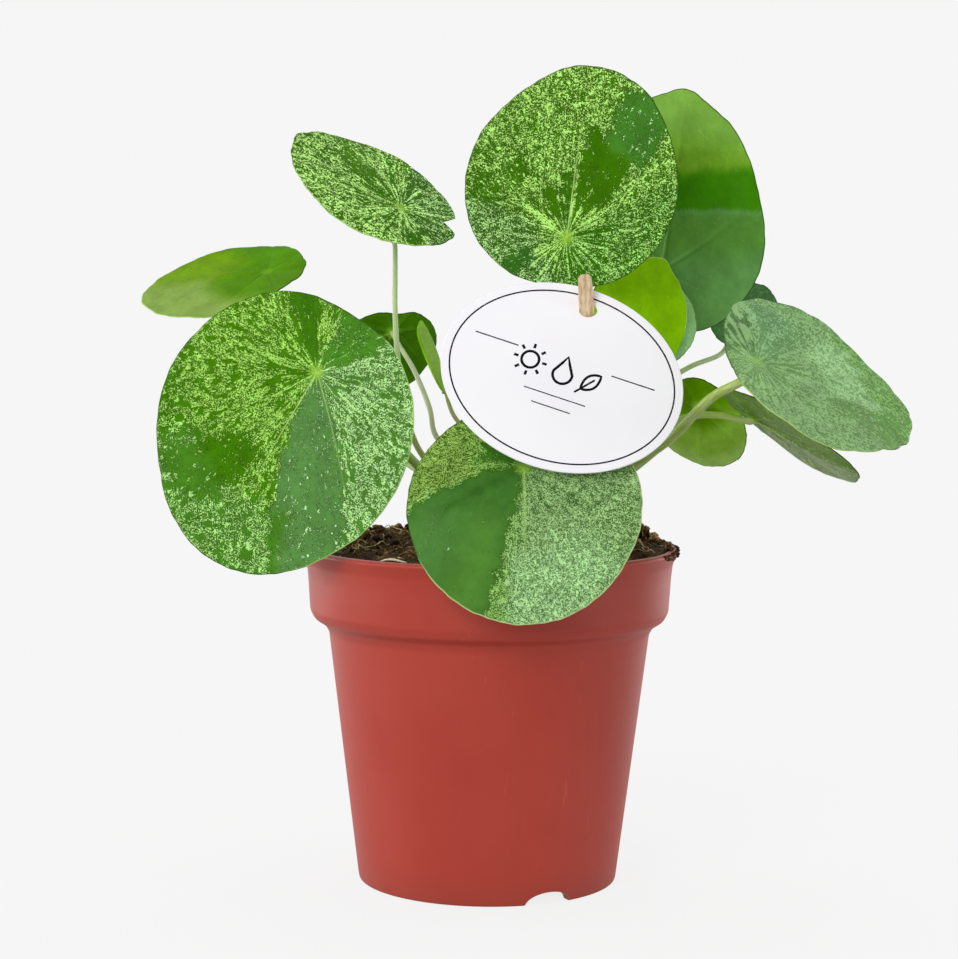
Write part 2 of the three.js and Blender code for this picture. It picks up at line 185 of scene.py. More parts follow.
def mesh_of(name, points, faces, crease=None):
    """A smooth-shaded mesh from points in millimetres, with hard edges over an angle."""
    mesh = bpy.data.meshes.new(name)
    mesh.from_pydata((np.asarray(points, float) * MM).tolist(), [], faces)
    mesh.shade_smooth()
    if crease is not None:
        mesh.set_sharp_from_angle(angle=radians(crease))
    return mesh


def piece_of(name, mesh, materials, finish, *nodes):
    """A finished piece that rides with the plant and stands for the nodes given."""
    piece = bpy.data.objects.new(name, mesh)
    bpy.context.scene.collection.objects.link(piece)
    for material in materials:
        mesh.materials.append(material)
    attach(piece, "root")
    if nodes:
        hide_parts(*nodes)


def carry(mesh, name, values, kind="FLOAT"):
    """Values for each point of a mesh, for its material to read."""
    field = {"FLOAT": "value", "FLOAT_VECTOR": "vector", "FLOAT_COLOR": "color"}[kind]
    layer = mesh.attributes.new(name, kind, "POINT")
    layer.data.foreach_set(field, np.asarray(values, np.float32).ravel())


def ring_faces(rings, sides):
    """Faces between rings of points, with a fan to the first point and one to the last."""
    faces, last = [], 1 + rings * sides
    for r in range(rings - 1):
        for i in range(sides):
            a, b = 1 + r * sides + i, 1 + r * sides + (i + 1) % sides
            faces.append((a, a + sides, b + sides, b))
    for i in range(sides):
        j = (i + 1) % sides
        faces.append((0, 1 + i, 1 + j))
        faces.append((last, last - sides + j, last - sides + i))
    return faces


def circle(radius, sides, z=0, way=-1):
    """Points round the upright axis, clockwise from above, or the other way with 1."""
    turns = [way * tau * i / sides for i in range(sides)]
    return [(radius * cos(a), radius * sin(a), z) for a in turns]


def rounded(profile, radius, steps=3):
    """A profile whose corners are replaced by short curves."""
    points = [Vector(p) for p in profile]
    way = [points[0]]
    for before, corner, after in zip(points, points[1:], points[2:]):
        back, ahead = before - corner, after - corner
        start = corner + back.normalized() * min(radius, back.length * 0.45)
        end = corner + ahead.normalized() * min(radius, ahead.length * 0.45)
        for s in range(steps + 1):
            t = s / steps
            way.append(start * (1 - t) ** 2 + corner * 2 * t * (1 - t) + end * t * t)
    way.append(points[-1])
    return way


def turned(profile, sides):
    """Points and faces of a body turned from a profile that starts and ends on the axis."""
    points = [(0, 0, profile[0][1])]
    for radius, z in profile[1:-1]:
        points.extend(circle(radius, sides, z))
    points.append((0, 0, profile[-1][1]))
    return points, ring_faces(len(profile) - 2, sides)


def carved(mesh, cutters, crease):
    """The mesh with the cutters' shapes taken out of it."""
    body = bpy.data.objects.new("uncut", mesh)
    tool = bpy.data.objects.new("cutter", cutters)
    for item in (body, tool):
        bpy.context.scene.collection.objects.link(item)
    cut = body.modifiers.new("cut", "BOOLEAN")
    cut.object = tool
    cut.solver = "EXACT"
    graph = bpy.context.evaluated_depsgraph_get()
    result = bpy.data.meshes.new_from_object(body.evaluated_get(graph))
    bpy.data.objects.remove(body)
    bpy.data.objects.remove(tool)
    result.shade_smooth()
    result.set_sharp_from_angle(angle=radians(crease))
    return result


foot, inside = FOOT_RADIUS - 1.5, BODY_TOP_RADIUS - WALL
pot_profile = [
    (0, FLOOR_Z), (foot - 3, FLOOR_Z), (foot - 3, 0), (foot, 0), (foot + 1.2, 0.3), (FOOT_RADIUS, 1.4),
    (BODY_TOP_RADIUS, STEP_BOTTOM), (BODY_TOP_RADIUS + 1.5, STEP_BOTTOM + 2.4),
    (BAND_RADIUS - 2, BAND_BOTTOM - 0.6), (BAND_RADIUS - 0.7, BAND_BOTTOM + 2),
    (BAND_RADIUS, POT_HEIGHT - 9), (BAND_RADIUS + 0.5, POT_HEIGHT - 4.6),
    (RIM_RADIUS - 0.4, POT_HEIGHT - 2), (RIM_RADIUS, POT_HEIGHT - 1.3),
    (RIM_RADIUS, POT_HEIGHT - 0.6), (RIM_RADIUS - 0.6, POT_HEIGHT),
    (BAND_RADIUS - WALL + 0.6, POT_HEIGHT), (BAND_RADIUS - WALL, POT_HEIGHT - 0.8),
    (BAND_RADIUS - WALL - 0.6, BAND_BOTTOM + 3), (BAND_RADIUS - WALL - 2.2, BAND_BOTTOM + 1),
    (inside + 1.2, STEP_BOTTOM + 3), (inside, STEP_BOTTOM), (FOOT_RADIUS - WALL, FLOOR_TOP + 1.5),
    (FOOT_RADIUS - WALL - 1.5, FLOOR_TOP), (0, FLOOR_TOP),
]
pot_points, pot_faces = turned(rounded(pot_profile, 0.8), POT_SIDES)
cut_points, cut_faces = [], []


def add_cutter(ring, low, high):
    """A capped tube from one middle to another, added to the cutters."""
    start, sides = len(cut_points), len(ring)
    for middle in (low, high):
        cut_points.extend(Vector(middle) + Vector(p) for p in ring)
    for i in range(sides):
        j = (i + 1) % sides
        cut_faces.append((start + i, start + j, start + sides + j, start + sides + i))
    cut_faces.append(tuple(start + i for i in reversed(range(sides))))
    cut_faces.append(tuple(start + sides + i for i in range(sides)))


for k in range(ARCHES):
    turn = radians(FIRST_ARCH + 360 / ARCHES * k)
    out = Vector((cos(turn), sin(turn), 0))
    aside = Vector((-sin(turn), cos(turn), 0))
    arch = [aside * ARCH_HALF_WIDTH * x + Vector((0, 0, ARCH_HEIGHT * y))
            for x, y, _ in circle(1, 36, way=1)]
    add_cutter(arch, out * 34, out * 46)
for x, y, _ in circle(DRAIN_CIRCLE, DRAIN_HOLES, way=1):
    add_cutter(circle(DRAIN_RADIUS, 32, way=1), (x, y, 0), (x, y, 7))

pot_cutters = mesh_of("pot_cuts", cut_points, cut_faces)
pot_mesh = carved(mesh_of("pot_turned", pot_points, pot_faces), pot_cutters, 40)

scuffs, given, made = new_group(
    "plastic wear",
    [("Place", "Vector", None), ("Grain", "Float", 900), ("Scuff", "Float", 0.5)],
    [("Tone", "Float"), ("Scuffed", "Float"), ("Height", "Float")],
)
cloud = grain(scuffs, given["Place"], 26, 3, 0.55)
plug(scuffs, made["Tone"], stepped(scuffs, cloud, 0.3, 0.7))
long_way = vector_of(scuffs, "MULTIPLY", given["Place"], (1, 1, 0.16))
rubbed = stepped(scuffs, grain(scuffs, long_way, 420, 4, 0.7), 0.62, 0.74)
worn = times(scuffs, rubbed, stepped(scuffs, cloud, 0.46, 0.62))
plug(scuffs, made["Scuffed"], times(scuffs, worn, given["Scuff"], clamp=True))
plug(scuffs, made["Height"], grain(scuffs, given["Place"], given["Grain"], 3, 0.6))

pot_plastic, tree = new_material("pot plastic, terracotta red")
place = place_on(tree)
wear = placed(tree, scuffs, {"Place": place, "Grain": 1500, "Scuff": 0.35})
height_up = part_of(tree, place, "Z")
colour = blended(tree, wear["Tone"], linear(169, 50, 33), linear(174, 55, 37))
colour = blended(tree, wear["Scuffed"], colour, linear(190, 92, 74))
# The plastic is darker towards the bottom of the foot.
darker_near_foot = stepped(tree, height_up, 0.012, 0, 0, 0.25)
colour = blended(tree, darker_near_foot, colour, linear(120, 52, 40))
rough = stepped(tree, wear["Tone"], 0, 1, 0.4, 0.5)
finished(tree, wear["Height"], 0.12, 0.0002, Base_Color=colour, Roughness=rough, Specular_IOR_Level=0.5)
piece_of("nursery_pot", pot_mesh, [pot_plastic], "pot_plastic", "pot")


# Soil. Dark fibrous peat, filled in by hand to just under the lip at the front and heaped
# towards the back and the right, with loose crumbs, bits of bark and root fibres on top.

SOIL_RADIUS, FIBRE_REACH = 56, 56.2
soil_dice = np.random.default_rng(7)


def soil_top(x, y):
    """The height of the soil at a place."""
    out = hypot(x, y) / (BAND_RADIUS - WALL)
    back = 0.5 + (0.3 * y + 0.3 * x) / BAND_RADIUS
    lumps = 0.9 * sin(x / 5.1 + 1.3) * cos(y / 6.3 - 0.4)
    lumps += 0.6 * sin((x + y) / 3.4) * cos((x - 2 * y) / 5.7)
    rough = 1.5 * noise.fractal(Vector((x / 4.5, y / 4.5, 3.1)), 0.8, 2.1, 4)
    return 103.4 + 5 * back + 3.4 * (1 - min(out, 1) ** 4) + lumps + rough


def soil_rings():
    """Rings of the soil's body, from its foot up the wall and then in over the top."""
    sides, steps = 160, 46
    wall = [(37.6, 4.9), (39.1, 6.7), (49, 80), (50.2, 83.3), (53.6, 86.5), (55.1, 88.6), (55.7, 96)]
    points, tone = [(0, 0, 4.9)], [0]
    for radius, z in wall:
        points.extend(circle(radius, sides, z))
        tone.extend([0.2] * sides)
    for k in range(steps):
        for x, y, _ in circle(SOIL_RADIUS * (1 - k / steps), sides):
            points.append((x, y, soil_top(x, y)))
            tone.append(0.25 + 0.3 * noise.noise(Vector((x / 3, y / 3, 9))))
    points.append((0, 0, soil_top(0, 0)))
    tone.append(0.2)
    return points, ring_faces(len(wall) + steps, sides), tone


def ball(middle, radius, squash, seed):
    """A lump: a coarse ball with its points pushed in and out."""
    points, rings, sides = [], 6, 9
    offset = Vector((seed * 3.7, seed * 1.3, seed * 0.7))
    for r in range(rings + 1):
        around = 1 if r in (0, rings) else sides
        for i in range(around):
            a, b = pi * r / rings, tau * i / sides
            out = Vector((sin(a) * cos(b), sin(a) * sin(b), -cos(a)))
            push = radius * (1 + 0.55 * noise.noise(out * 1.4 + offset))
            lump = Vector((out.x * push, out.y * push * squash, out.z * push * 0.75))
            points.append(Vector(middle) + lump)
    return points, ring_faces(rings - 1, sides)


def swept(way, radii, sides):
    """A round tube along points, with its frame carried on from one point to the next."""
    way = [Vector(p) for p in way]
    normal = (way[1] - way[0]).orthogonal().normalized()
    points = [way[0]]
    for k, middle in enumerate(way):
        run = (way[min(k + 1, len(way) - 1)] - way[max(k - 1, 0)]).normalized()
        normal = (normal - run * normal.dot(run)).normalized()
        side = run.cross(normal)
        for i in range(sides):
            a = tau * i / sides
            points.append(middle + (normal * cos(a) + side * sin(a)) * radii[k])
    points.append(way[-1])
    faces = [tuple(reversed(face)) for face in ring_faces(len(way), sides)]
    return points, faces


def joined(parts):
    """Several sets of points, faces and one tone each, as one set."""
    points, faces, tones = [], [], []
    for some, more, tone in parts:
        start = len(points)
        points.extend(some)
        faces.extend(tuple(start + v for v in face) for face in more)
        tones.extend(tone if isinstance(tone, list) else [tone] * len(some))
    return points, faces, tones


def fibre(x, y, heading, length, thick, lift):
    """A root or peat fibre that lies on the soil and lifts a little in its middle."""
    way, radii, steps = [], [], 9
    for s in range(steps + 1):
        way.append((x, y, soil_top(x, y) + 0.25 + lift * sin(pi * s / steps)))
        radii.append(thick * (0.45 + 0.55 * sin(pi * min(max(s / steps, 0.12), 0.9))))
        heading += 0.25 * soil_dice.normal()
        nx, ny = x + cos(heading) * length / steps, y + sin(heading) * length / steps
        if hypot(nx, ny) < FIBRE_REACH:
            x, y = nx, ny
        else:
            heading += 1.2
            x, y = x + cos(heading) * 0.4, y + sin(heading) * 0.4
    return swept(way, radii, 5)


def crumb(place, radius, squash, seed, tone):
    """One crumb or flake, put where it has come to lie."""
    soil_parts.append((*ball(place, radius, squash, seed), tone))


pick = soil_dice.uniform
soil_parts = [soil_rings()]
for k in range(520):
    a, share = pick(0, tau), sqrt(pick(0.05, 1))
    radius = 0.5 + 1.7 * pick(0, 1) ** 3
    reach = (SOIL_RADIUS - 0.6 - radius) * share
    x, y = reach * cos(a), reach * sin(a)
    crumb((x, y, soil_top(x, y) + radius * 0.2), radius, pick(0.5, 1), k, pick(0.05, 0.75) ** 1.3)
for k in range(330):
    a, share = pick(0, tau), sqrt(pick(0.1, 1))
    length, thick = pick(3, 13), pick(0.1, 0.28)
    x, y = 54 * share * cos(a), 54 * share * sin(a)
    thread = fibre(x, y, pick(0, 6.3), length, thick, pick(0, 0.9))
    soil_parts.append((*thread, pick(0.35, 0.95)))
# Clumps that stand above the level: one at the left behind the leaf, two at the right lip.
for cx, cy, spread, rise, count in ((-38, 18, 6, 2.6, 26), (48, 6, 8, 4.8, 60), (42, 20, 8, 3.2, 24)):
    for k in range(count):
        x, y = cx + soil_dice.normal() * spread * 0.5, cy + soil_dice.normal() * spread * 0.6
        if hypot(x, y) > 54.5:
            continue
        radius = pick(0.7, 2)
        z = soil_top(x, y) + rise * max(0, 1 - hypot(x - cx, y - cy) / spread)
        crumb((x, y, z), radius, pick(0.5, 1), k + 600, pick(0.1, 0.8))
# Crumbs spilled on the lip at the right.
for k in range(44):
    a, reach = radians(pick(-12, 38)), pick(54.5, 58.6)
    radius = pick(0.5, 1.25)
    place = (reach * cos(a), reach * sin(a), POT_HEIGHT + radius * 0.45)
    crumb(place, radius, pick(0.5, 1), k + 700, pick(0.1, 0.8))
# Moist peat smeared over the lip's outer side at the right.
for k in range(110):
    a, z = radians(pick(-26, 18)), POT_HEIGHT - 0.1 - 1.8 * pick(0, 1) ** 1.6
    place = ((RIM_RADIUS - 0.1) * cos(a), (RIM_RADIUS - 0.1) * sin(a), z)
    crumb(place, pick(0.3, 0.72), 0.9, k + 800, pick(0.05, 0.5))
# Fine hairs of peat that stand up over the right lip, and one pale root at the front left.
for k in range(14):
    x, y = 46 + soil_dice.normal() * 4, 4 + soil_dice.normal() * 5
    base = Vector((x, y, soil_top(x, y)))
    bend = Vector((soil_dice.normal() * 1.6, soil_dice.normal() * 1.6, pick(3.5, 7)))
    way = [base + bend * t + Vector((0, 0, -1.2 * t * t)) for t in (0, 0.25, 0.5, 0.75, 1)]
    soil_parts.append((*swept(way, [0.14, 0.12, 0.1, 0.08, 0.05], 5), 0.7))
way = [(-33 + 1.6 * s, -46.5 + 0.5 * sin(s * 1.1), 107 + 0.5 * sin(s * 0.8)) for s in range(6)]
soil_parts.append((*swept(way, [0.16, 0.34, 0.4, 0.38, 0.3, 0.14], 6), 1))

soil_points, soil_faces, soil_tones = joined(soil_parts)
soil_mesh = mesh_of("soil_heap", soil_points, soil_faces)
carry(soil_mesh, "tone", soil_tones)

peat, tree = new_material("peat soil, dark and fibrous")
place = place_on(tree)
tone = painted(tree, "tone")
flecks = grain(tree, place, 1100, 3, 0.65)
level = sum_of(tree, "ADD", tone, times(tree, sum_of(tree, "SUBTRACT", flecks, 0.5), 1.5))
ramp = add(tree, "ValToRGB", {0: level})
# The ramp's colours are partly the peat's own and partly painted light: they are lighter than peat, to
# make up for the shade that the leaves cast over it.
stops = [(0, (26, 15, 8)), (0.3, (72, 50, 30)), (0.55, (118, 84, 52)), (0.72, (168, 130, 82)),
         (0.86, (200, 166, 112)), (1, (232, 220, 190))]
for _ in range(len(stops) - 2):
    ramp.color_ramp.elements.new(0.5)
for stop, (spot, shade) in zip(ramp.color_ramp.elements, stops):
    stop.position = spot
    stop.color = linear(*shade)
moss = stepped(tree, grain(tree, place, 160, 2), 0.6, 0.68, 0, 0.35)
colour = blended(tree, moss, ramp.outputs[0], linear(116, 110, 46))
finished(tree, flecks, 0.7, 0.0006, Base_Color=colour, Roughness=stepped(tree, flecks, 0.3, 0.7, 0.8, 1),
         Specular_IOR_Level=0.2)
piece_of("soil_heap", soil_mesh, [peat], "potting_soil", "soil")


# Main stem. One short, upright, woody stem that stands in the soil. It is the plant's own,
# green at its growing end and brown and corky below, with a scar where each old leaf fell.

STEM_X, STEM_Y, STEM_BOTTOM, STEM_TOP = 6, 2, 88, 142
STEM_RADIUS, STEM_TOP_RADIUS = 5, 4.2
stem_sides, stem_steps = 48, 80


def stem_girth(z):
    """The stem's radius at a height: it tapers from the pot's lip upwards."""
    share = (z - POT_HEIGHT) / (STEM_TOP - POT_HEIGHT)
    return STEM_RADIUS + (STEM_TOP_RADIUS - STEM_RADIUS) * min(max(share, 0), 1)


stem_points = [(STEM_X, STEM_Y, STEM_BOTTOM)]
for s in range(stem_steps + 1):
    z = STEM_BOTTOM + (STEM_TOP - 0.2 - STEM_BOTTOM) * s / stem_steps
    girth = stem_girth(z)
    if z > STEM_TOP - 3:
        girth *= sqrt(max(0.02, 1 - ((z - STEM_TOP + 3) / 3.05) ** 2))
    for i in range(stem_sides):
        a = -tau * i / stem_sides
        bark = noise.noise(Vector((cos(a) * 1.6, sin(a) * 1.6, z / 2.2)))
        ring = exp(-(((z + 1.6 * sin(a + z)) % 4.6 - 2.3) / 0.5) ** 2)
        r = girth * (0.975 + 0.03 * bark - 0.035 * ring)
        stem_points.append((STEM_X + r * cos(a), STEM_Y + r * sin(a), z))
stem_points.append((STEM_X, STEM_Y, STEM_TOP))
stem_mesh = mesh_of("stem_wood", stem_points, ring_faces(stem_steps + 1, stem_sides))

bark, tree = new_material("stem bark, green to corky brown")
place = place_on(tree)
height_up = part_of(tree, place, "Z")
cork = grain(tree, vector_of(tree, "MULTIPLY", place, (1, 1, 0.4)), 700, 4, 0.6)
colour = blended(tree, stepped(tree, cork, 0.35, 0.65), linear(94, 78, 44), linear(150, 132, 84))
green = stepped(tree, height_up, 0.122, 0.14, 0.1, 0.85)
colour = blended(tree, green, colour, linear(128, 150, 70))
finished(tree, cork, 0.6, 0.0004, Base_Color=colour, Roughness=0.75, Specular_IOR_Level=0.3)
piece_of("stem_wood", stem_mesh, [bark], "stem_bark", "main_stem")


# Leaf stalks. Each leaf grows on its own smooth, fleshy stalk, which leaves the stem in an
# arch and joins the blade's underside. It is thicker at both ends, pale sage to yellow-green,
# and brownish where it leaves the stem. The table gives where each leaf grows and its form.

USUAL_FORM = dict(egg=0, point=0, sinus=0, bend=0, cup=0, curl=0, fold=0, lead=5)
LEAVES = {  # what is each leaf's own
    "a": dict(at=(-53.5, -32, 163), turn=(180, -60, -68), size=(88, 85), base=0.25, egg=-0.09,
        point=0.3, sinus=1.5, bend=-0.04, cup=0.17, wave=0.8, thick=1.5, node=(205, 116),
        via=[(-26.8, -24, 138.5), (-14, -12, 124.5)]),
    "b": dict(at=(-29, 3, 214.5), turn=(174, 31, -26), size=(57, 55), base=0.31, egg=-0.07, point=1.3,
        sinus=-1.3, bend=0.12, cup=-0.09, wave=0.4, thick=1, node=(178, 120.5),
        via=[(-31, 5, 201), (-30.7, 4, 178), (-28.4, 0, 157), (-22, -3, 136.5)]),
    "c": dict(at=(-78, 73, 194.5), turn=(180, -14, -26), size=(57, 52), base=0.24, egg=-0.02,
        point=1.8, sinus=-0.4, bend=0.04, wave=0.5, thick=1.2, node=(140, 115.5),
        via=[(-62, 64, 154), (-38, 43, 137), (-16, 17, 125)]),
    "d": dict(at=(9.5, -58, 136.5), turn=(-88, -63, 5.5), size=(69.5, 69), base=0.29, egg=-0.08,
        wave=0.7, thick=1.4, node=(-95, 119), via=[(9, -44, 129), (7, -24, 122)]),
    "f": dict(at=(-33, 33, 175), turn=(117, -53, 3), size=(37, 36), base=0.24, egg=-0.08, point=1.5,
        sinus=1.8, bend=-0.03, cup=0.06, wave=0.3, thick=0.95, node=(160, 126),
        via=[(-25, 19, 162), (-19.7, 11, 150), (-17.6, 8, 141.5)]),
    "g": dict(at=(23, -8, 205), turn=(11, 84, 52), size=(71, 73), base=0.23, egg=-0.12, sinus=1,
        bend=-0.22, cup=0.31, wave=0.7, thick=1.4, node=(-45, 136),
        via=[(25, 2, 190), (21, -2, 162), (14, -5, 143)]),
    "h": dict(at=(58, 45, 196), turn=(-70, 73, -62), size=(79.5, 76.5), base=0.26, egg=-0.09,
        point=2.3, wave=0.9, thick=1.4, node=(52, 132),
        via=[(50, 35, 184), (36, 23, 157), (19, 13, 138)]),
    "i": dict(at=(42.5, -2, 171.5), turn=(32, 61, 90), size=(41, 39), base=0.28, egg=-0.05, point=1.8,
        wave=0.4, thick=1.1, node=(-10, 130.5), via=[(35, 3, 158), (22, 1, 138)]),
    "j": dict(at=(52, 12, 172.5), turn=(34, 69, 72), size=(27.5, 26.5), base=0.27, point=1.5,
        wave=0.2, thick=1.1, node=(20, 125), via=[(45, 14, 160), (27, 10, 139)]),
    "k": dict(at=(76.5, -70, 168.5), turn=(20, -16, 38), size=(65, 66), base=0.17, egg=-0.21,
        point=0.5, sinus=1, bend=-0.11, cup=0.26, wave=0.6, thick=1.65, node=(-52, 119.5),
        via=[(64.9, -50, 156.8), (53, -34, 142.6), (30, -17, 127)]),
    "l": dict(at=(83, -8, 149.5), turn=(-36, -27, -26), size=(50.5, 49), base=0.23, egg=0.02,
        point=1.2, bend=0.15, cup=-0.08, wave=0.3, thick=1.3, lead=0.9, curl=1.8, node=(-14, 120),
        via=[(72, -10, 149.8), (61, -10, 149), (52, -8, 142.3), (30, -3, 126)]),
    "m": dict(at=(69, 28, 151), turn=(80, -59, 17), size=(34.5, 33), base=0.3, egg=0.08, sinus=-0.8,
        bend=0.04, cup=-0.04, wave=0.2, thick=1.1, node=(20, 115.5),
        via=[(57, 18, 139), (36, 10, 124)]),
    "n": dict(at=(83, 58, 176.5), turn=(32, 42, 54), size=(26.5, 25.5), base=0.27, point=0.7,
        wave=0.2, thick=1, node=(45, 120), via=[(79, 56, 168), (66, 42, 163), (44, 26, 150)]),
    "p": dict(at=(-15.5, 9, 157), turn=(-140, 80, 150), size=(23, 5.2), base=0.06, egg=0.32, point=1,
        bend=0.4, fold=1.3, wave=0, thick=0.8, lead=0.7, node=(150, 137), join=(-15.4, 9, 156.1),
        via=[(-13.7, 8.5, 152.5), (-11.6, 7, 147.7)]),
}
LEAVES = {key: {**USUAL_FORM, **form} for key, form in LEAVES.items()}
BLADE_THICKNESS = 0.7


def blade_axes(leaf):
    """The directions of a blade: across it, along its midrib, and up out of its upper face."""
    azimuth, rise, roll = (radians(v) for v in leaf["turn"])
    flat = Vector((cos(azimuth), sin(azimuth), 0))
    along = flat * cos(rise) + Vector((0, 0, sin(rise)))
    level = flat * -sin(rise) + Vector((0, 0, cos(rise)))
    side = along.cross(level)
    up = level * cos(roll) + side * sin(roll)
    across = side * cos(roll) - level * sin(roll)
    return across, along, up


def smooth_way(stops, per_span=14):
    """A smooth line through stops that doesn't overshoot where they lie close together."""
    stops = [Vector(p) for p in stops]
    ends = [stops[0] * 2 - stops[1], *stops, stops[-1] * 2 - stops[-2]]
    way = []
    for a, b, c, d in zip(ends, ends[1:], ends[2:], ends[3:]):
        before, span, after = (sqrt((q - p).length) for p, q in ((a, b), (b, c), (c, d)))
        leave = ((b - a) / before - (c - a) / (before + span) + (c - b) / span) * span
        reach = ((c - b) / span - (d - b) / (span + after) + (d - c) / after) * span
        for s in range(per_span):
            t = s / per_span
            way.append(b + leave * t + (c * 3 - b * 3 - leave * 2 - reach) * t**2
                       + (b * 2 - c * 2 + leave + reach) * t**3)
    return [*way, stops[-1]]


def evenly(way, step):
    """The same line with its points one step apart."""
    lengths = np.cumsum([0] + [(q - p).length for p, q in zip(way, way[1:])])
    count = max(8, round(lengths[-1] / step))
    spots = np.linspace(0, lengths[-1], count + 1)
    flat = np.array([tuple(p) for p in way])
    return np.stack([np.interp(spots, lengths, flat[:, k]) for k in range(3)], 1), spots


STALK_COLOURS = {  # at the blade, in the middle, at the stem
    # Painted light: the stem-end colours of stalks a, b and c are lighter than their own, to make up for
    # the shade of leaf a above them.
    "a": ((160, 200, 100), (168, 200, 104), (176, 206, 104)),
    "b": ((196, 210, 166), (178, 202, 136), (176, 166, 56)),
    "c": ((170, 190, 130), (176, 200, 130), (190, 210, 136)),
    "d": ((150, 190, 100), (160, 186, 94), (150, 160, 80)),
    "f": ((170, 206, 126), (206, 210, 176), (204, 208, 170)),
    "g": ((170, 210, 110), (172, 200, 120), (160, 175, 100)),
    "h": ((180, 208, 140), (206, 222, 172), (176, 186, 118)),
    "i": ((160, 200, 80), (160, 190, 90), (155, 170, 90)),
    "j": ((160, 185, 110), (160, 185, 115), (155, 170, 100)),
    "k": ((156, 180, 66), (152, 180, 64), (150, 172, 70)),
    "l": ((160, 190, 72), (174, 206, 92), (170, 190, 90)),
    "m": ((160, 190, 100), (160, 186, 100), (150, 165, 90)),
    "n": ((160, 185, 120), (160, 185, 120), (150, 165, 100)),
    "p": ((150, 176, 80), (150, 150, 84), (150, 146, 80)),
}
STALK_SIDES = 16

stalk_skin, tree = new_material("leaf stalk, pale and fleshy")
run = painted(tree, "run", "Vector")
stripe = grain(tree, run, 1.5, 2, 0.5)
dots = grain(tree, vector_of(tree, "MULTIPLY", run, (1, 1, 6)), 1.9, 2, 0.6)
dots = stepped(tree, dots, 0.6, 0.7, 0, 0.2)
skin = painted(tree, "skin", "Color")
colour = blended(tree, stepped(tree, stripe, 0.35, 0.65, 0, 0.35), skin, linear(214, 222, 190))
colour = blended(tree, dots, colour, linear(120, 130, 70))
rough = stepped(tree, stripe, 0.3, 0.7, 0.4, 0.55)
finished(tree, stripe, 0.2, 0.0002, Base_Color=colour, Roughness=rough, Specular_IOR_Level=0.35,
         Subsurface_Weight=0.08, Subsurface_Scale=0.001)

for key, leaf in LEAVES.items():
    azimuth, node_z = radians(leaf["node"][0]), leaf["node"][1]
    out = Vector((cos(azimuth), sin(azimuth), 0))
    start = Vector((STEM_X, STEM_Y, node_z)) + out * (stem_girth(node_z) + 0.3)
    up = blade_axes(leaf)[2]
    end = Vector(leaf.get("join", Vector(leaf["at"]) - up))
    stops = [end, end - up * leaf["lead"], *leaf["via"], start + out * 3, start]
    way, spots = evenly(smooth_way(stops), 1.6)
    share = spots / spots[-1]
    flare = 1 + 0.75 * np.exp(-spots / 1.1) + 0.5 * np.exp(-(spots[-1] - spots) / 2.2)
    radii = leaf["thick"] * (0.8 + 0.25 * share) * flare
    # One more ring at each end reaches into the blade and into the stem.
    way = np.vstack([[end + up * 0.3], way, [start - out * 1.6]])
    radii = np.concatenate([radii[:1] * 1.1, radii, radii[-1:] * 1.05])
    spots = np.concatenate([[0], spots, [spots[-1] + 1.6]])
    share = np.concatenate([[0], share, [1]])[:, None]
    points, faces = swept(way, radii, STALK_SIDES)
    mesh = mesh_of("stalk_" + key, points, faces)
    near, middle, root = (np.array(linear(*c)) for c in STALK_COLOURS[key])
    first, second = np.clip(share / 0.35, 0, 1), np.clip((share - 0.55) / 0.35, 0, 1)
    tint = (near * (1 - first) + middle * first) * (1 - second) + root * second
    tint = np.repeat(tint, STALK_SIDES, 0)
    turns = np.tile(np.arange(STALK_SIDES) * tau / STALK_SIDES, len(radii))
    girths, down = np.repeat(radii, STALK_SIDES), np.repeat(spots, STALK_SIDES)
    run = np.stack([girths * np.cos(turns), girths * np.sin(turns), 0.12 * down], -1)
    carry(mesh, "run", np.vstack([run[:1], run, run[-1:]]), "FLOAT_VECTOR")
    carry(mesh, "skin", np.vstack([tint[:1], tint, tint[-1:]]), "FLOAT_COLOR")
    piece_of("stalk_" + key, mesh, [stalk_skin], "leaf_stalk", "petiole_" + key)


# Leaf blades. Round, fleshy blades that the stalk meets a quarter of the way in, with seven
# veins that fan out from there. Five are speckled: cells without their green show as pale
# webbing over deep green, in sectors that the growing tip laid down. The rest are plain.

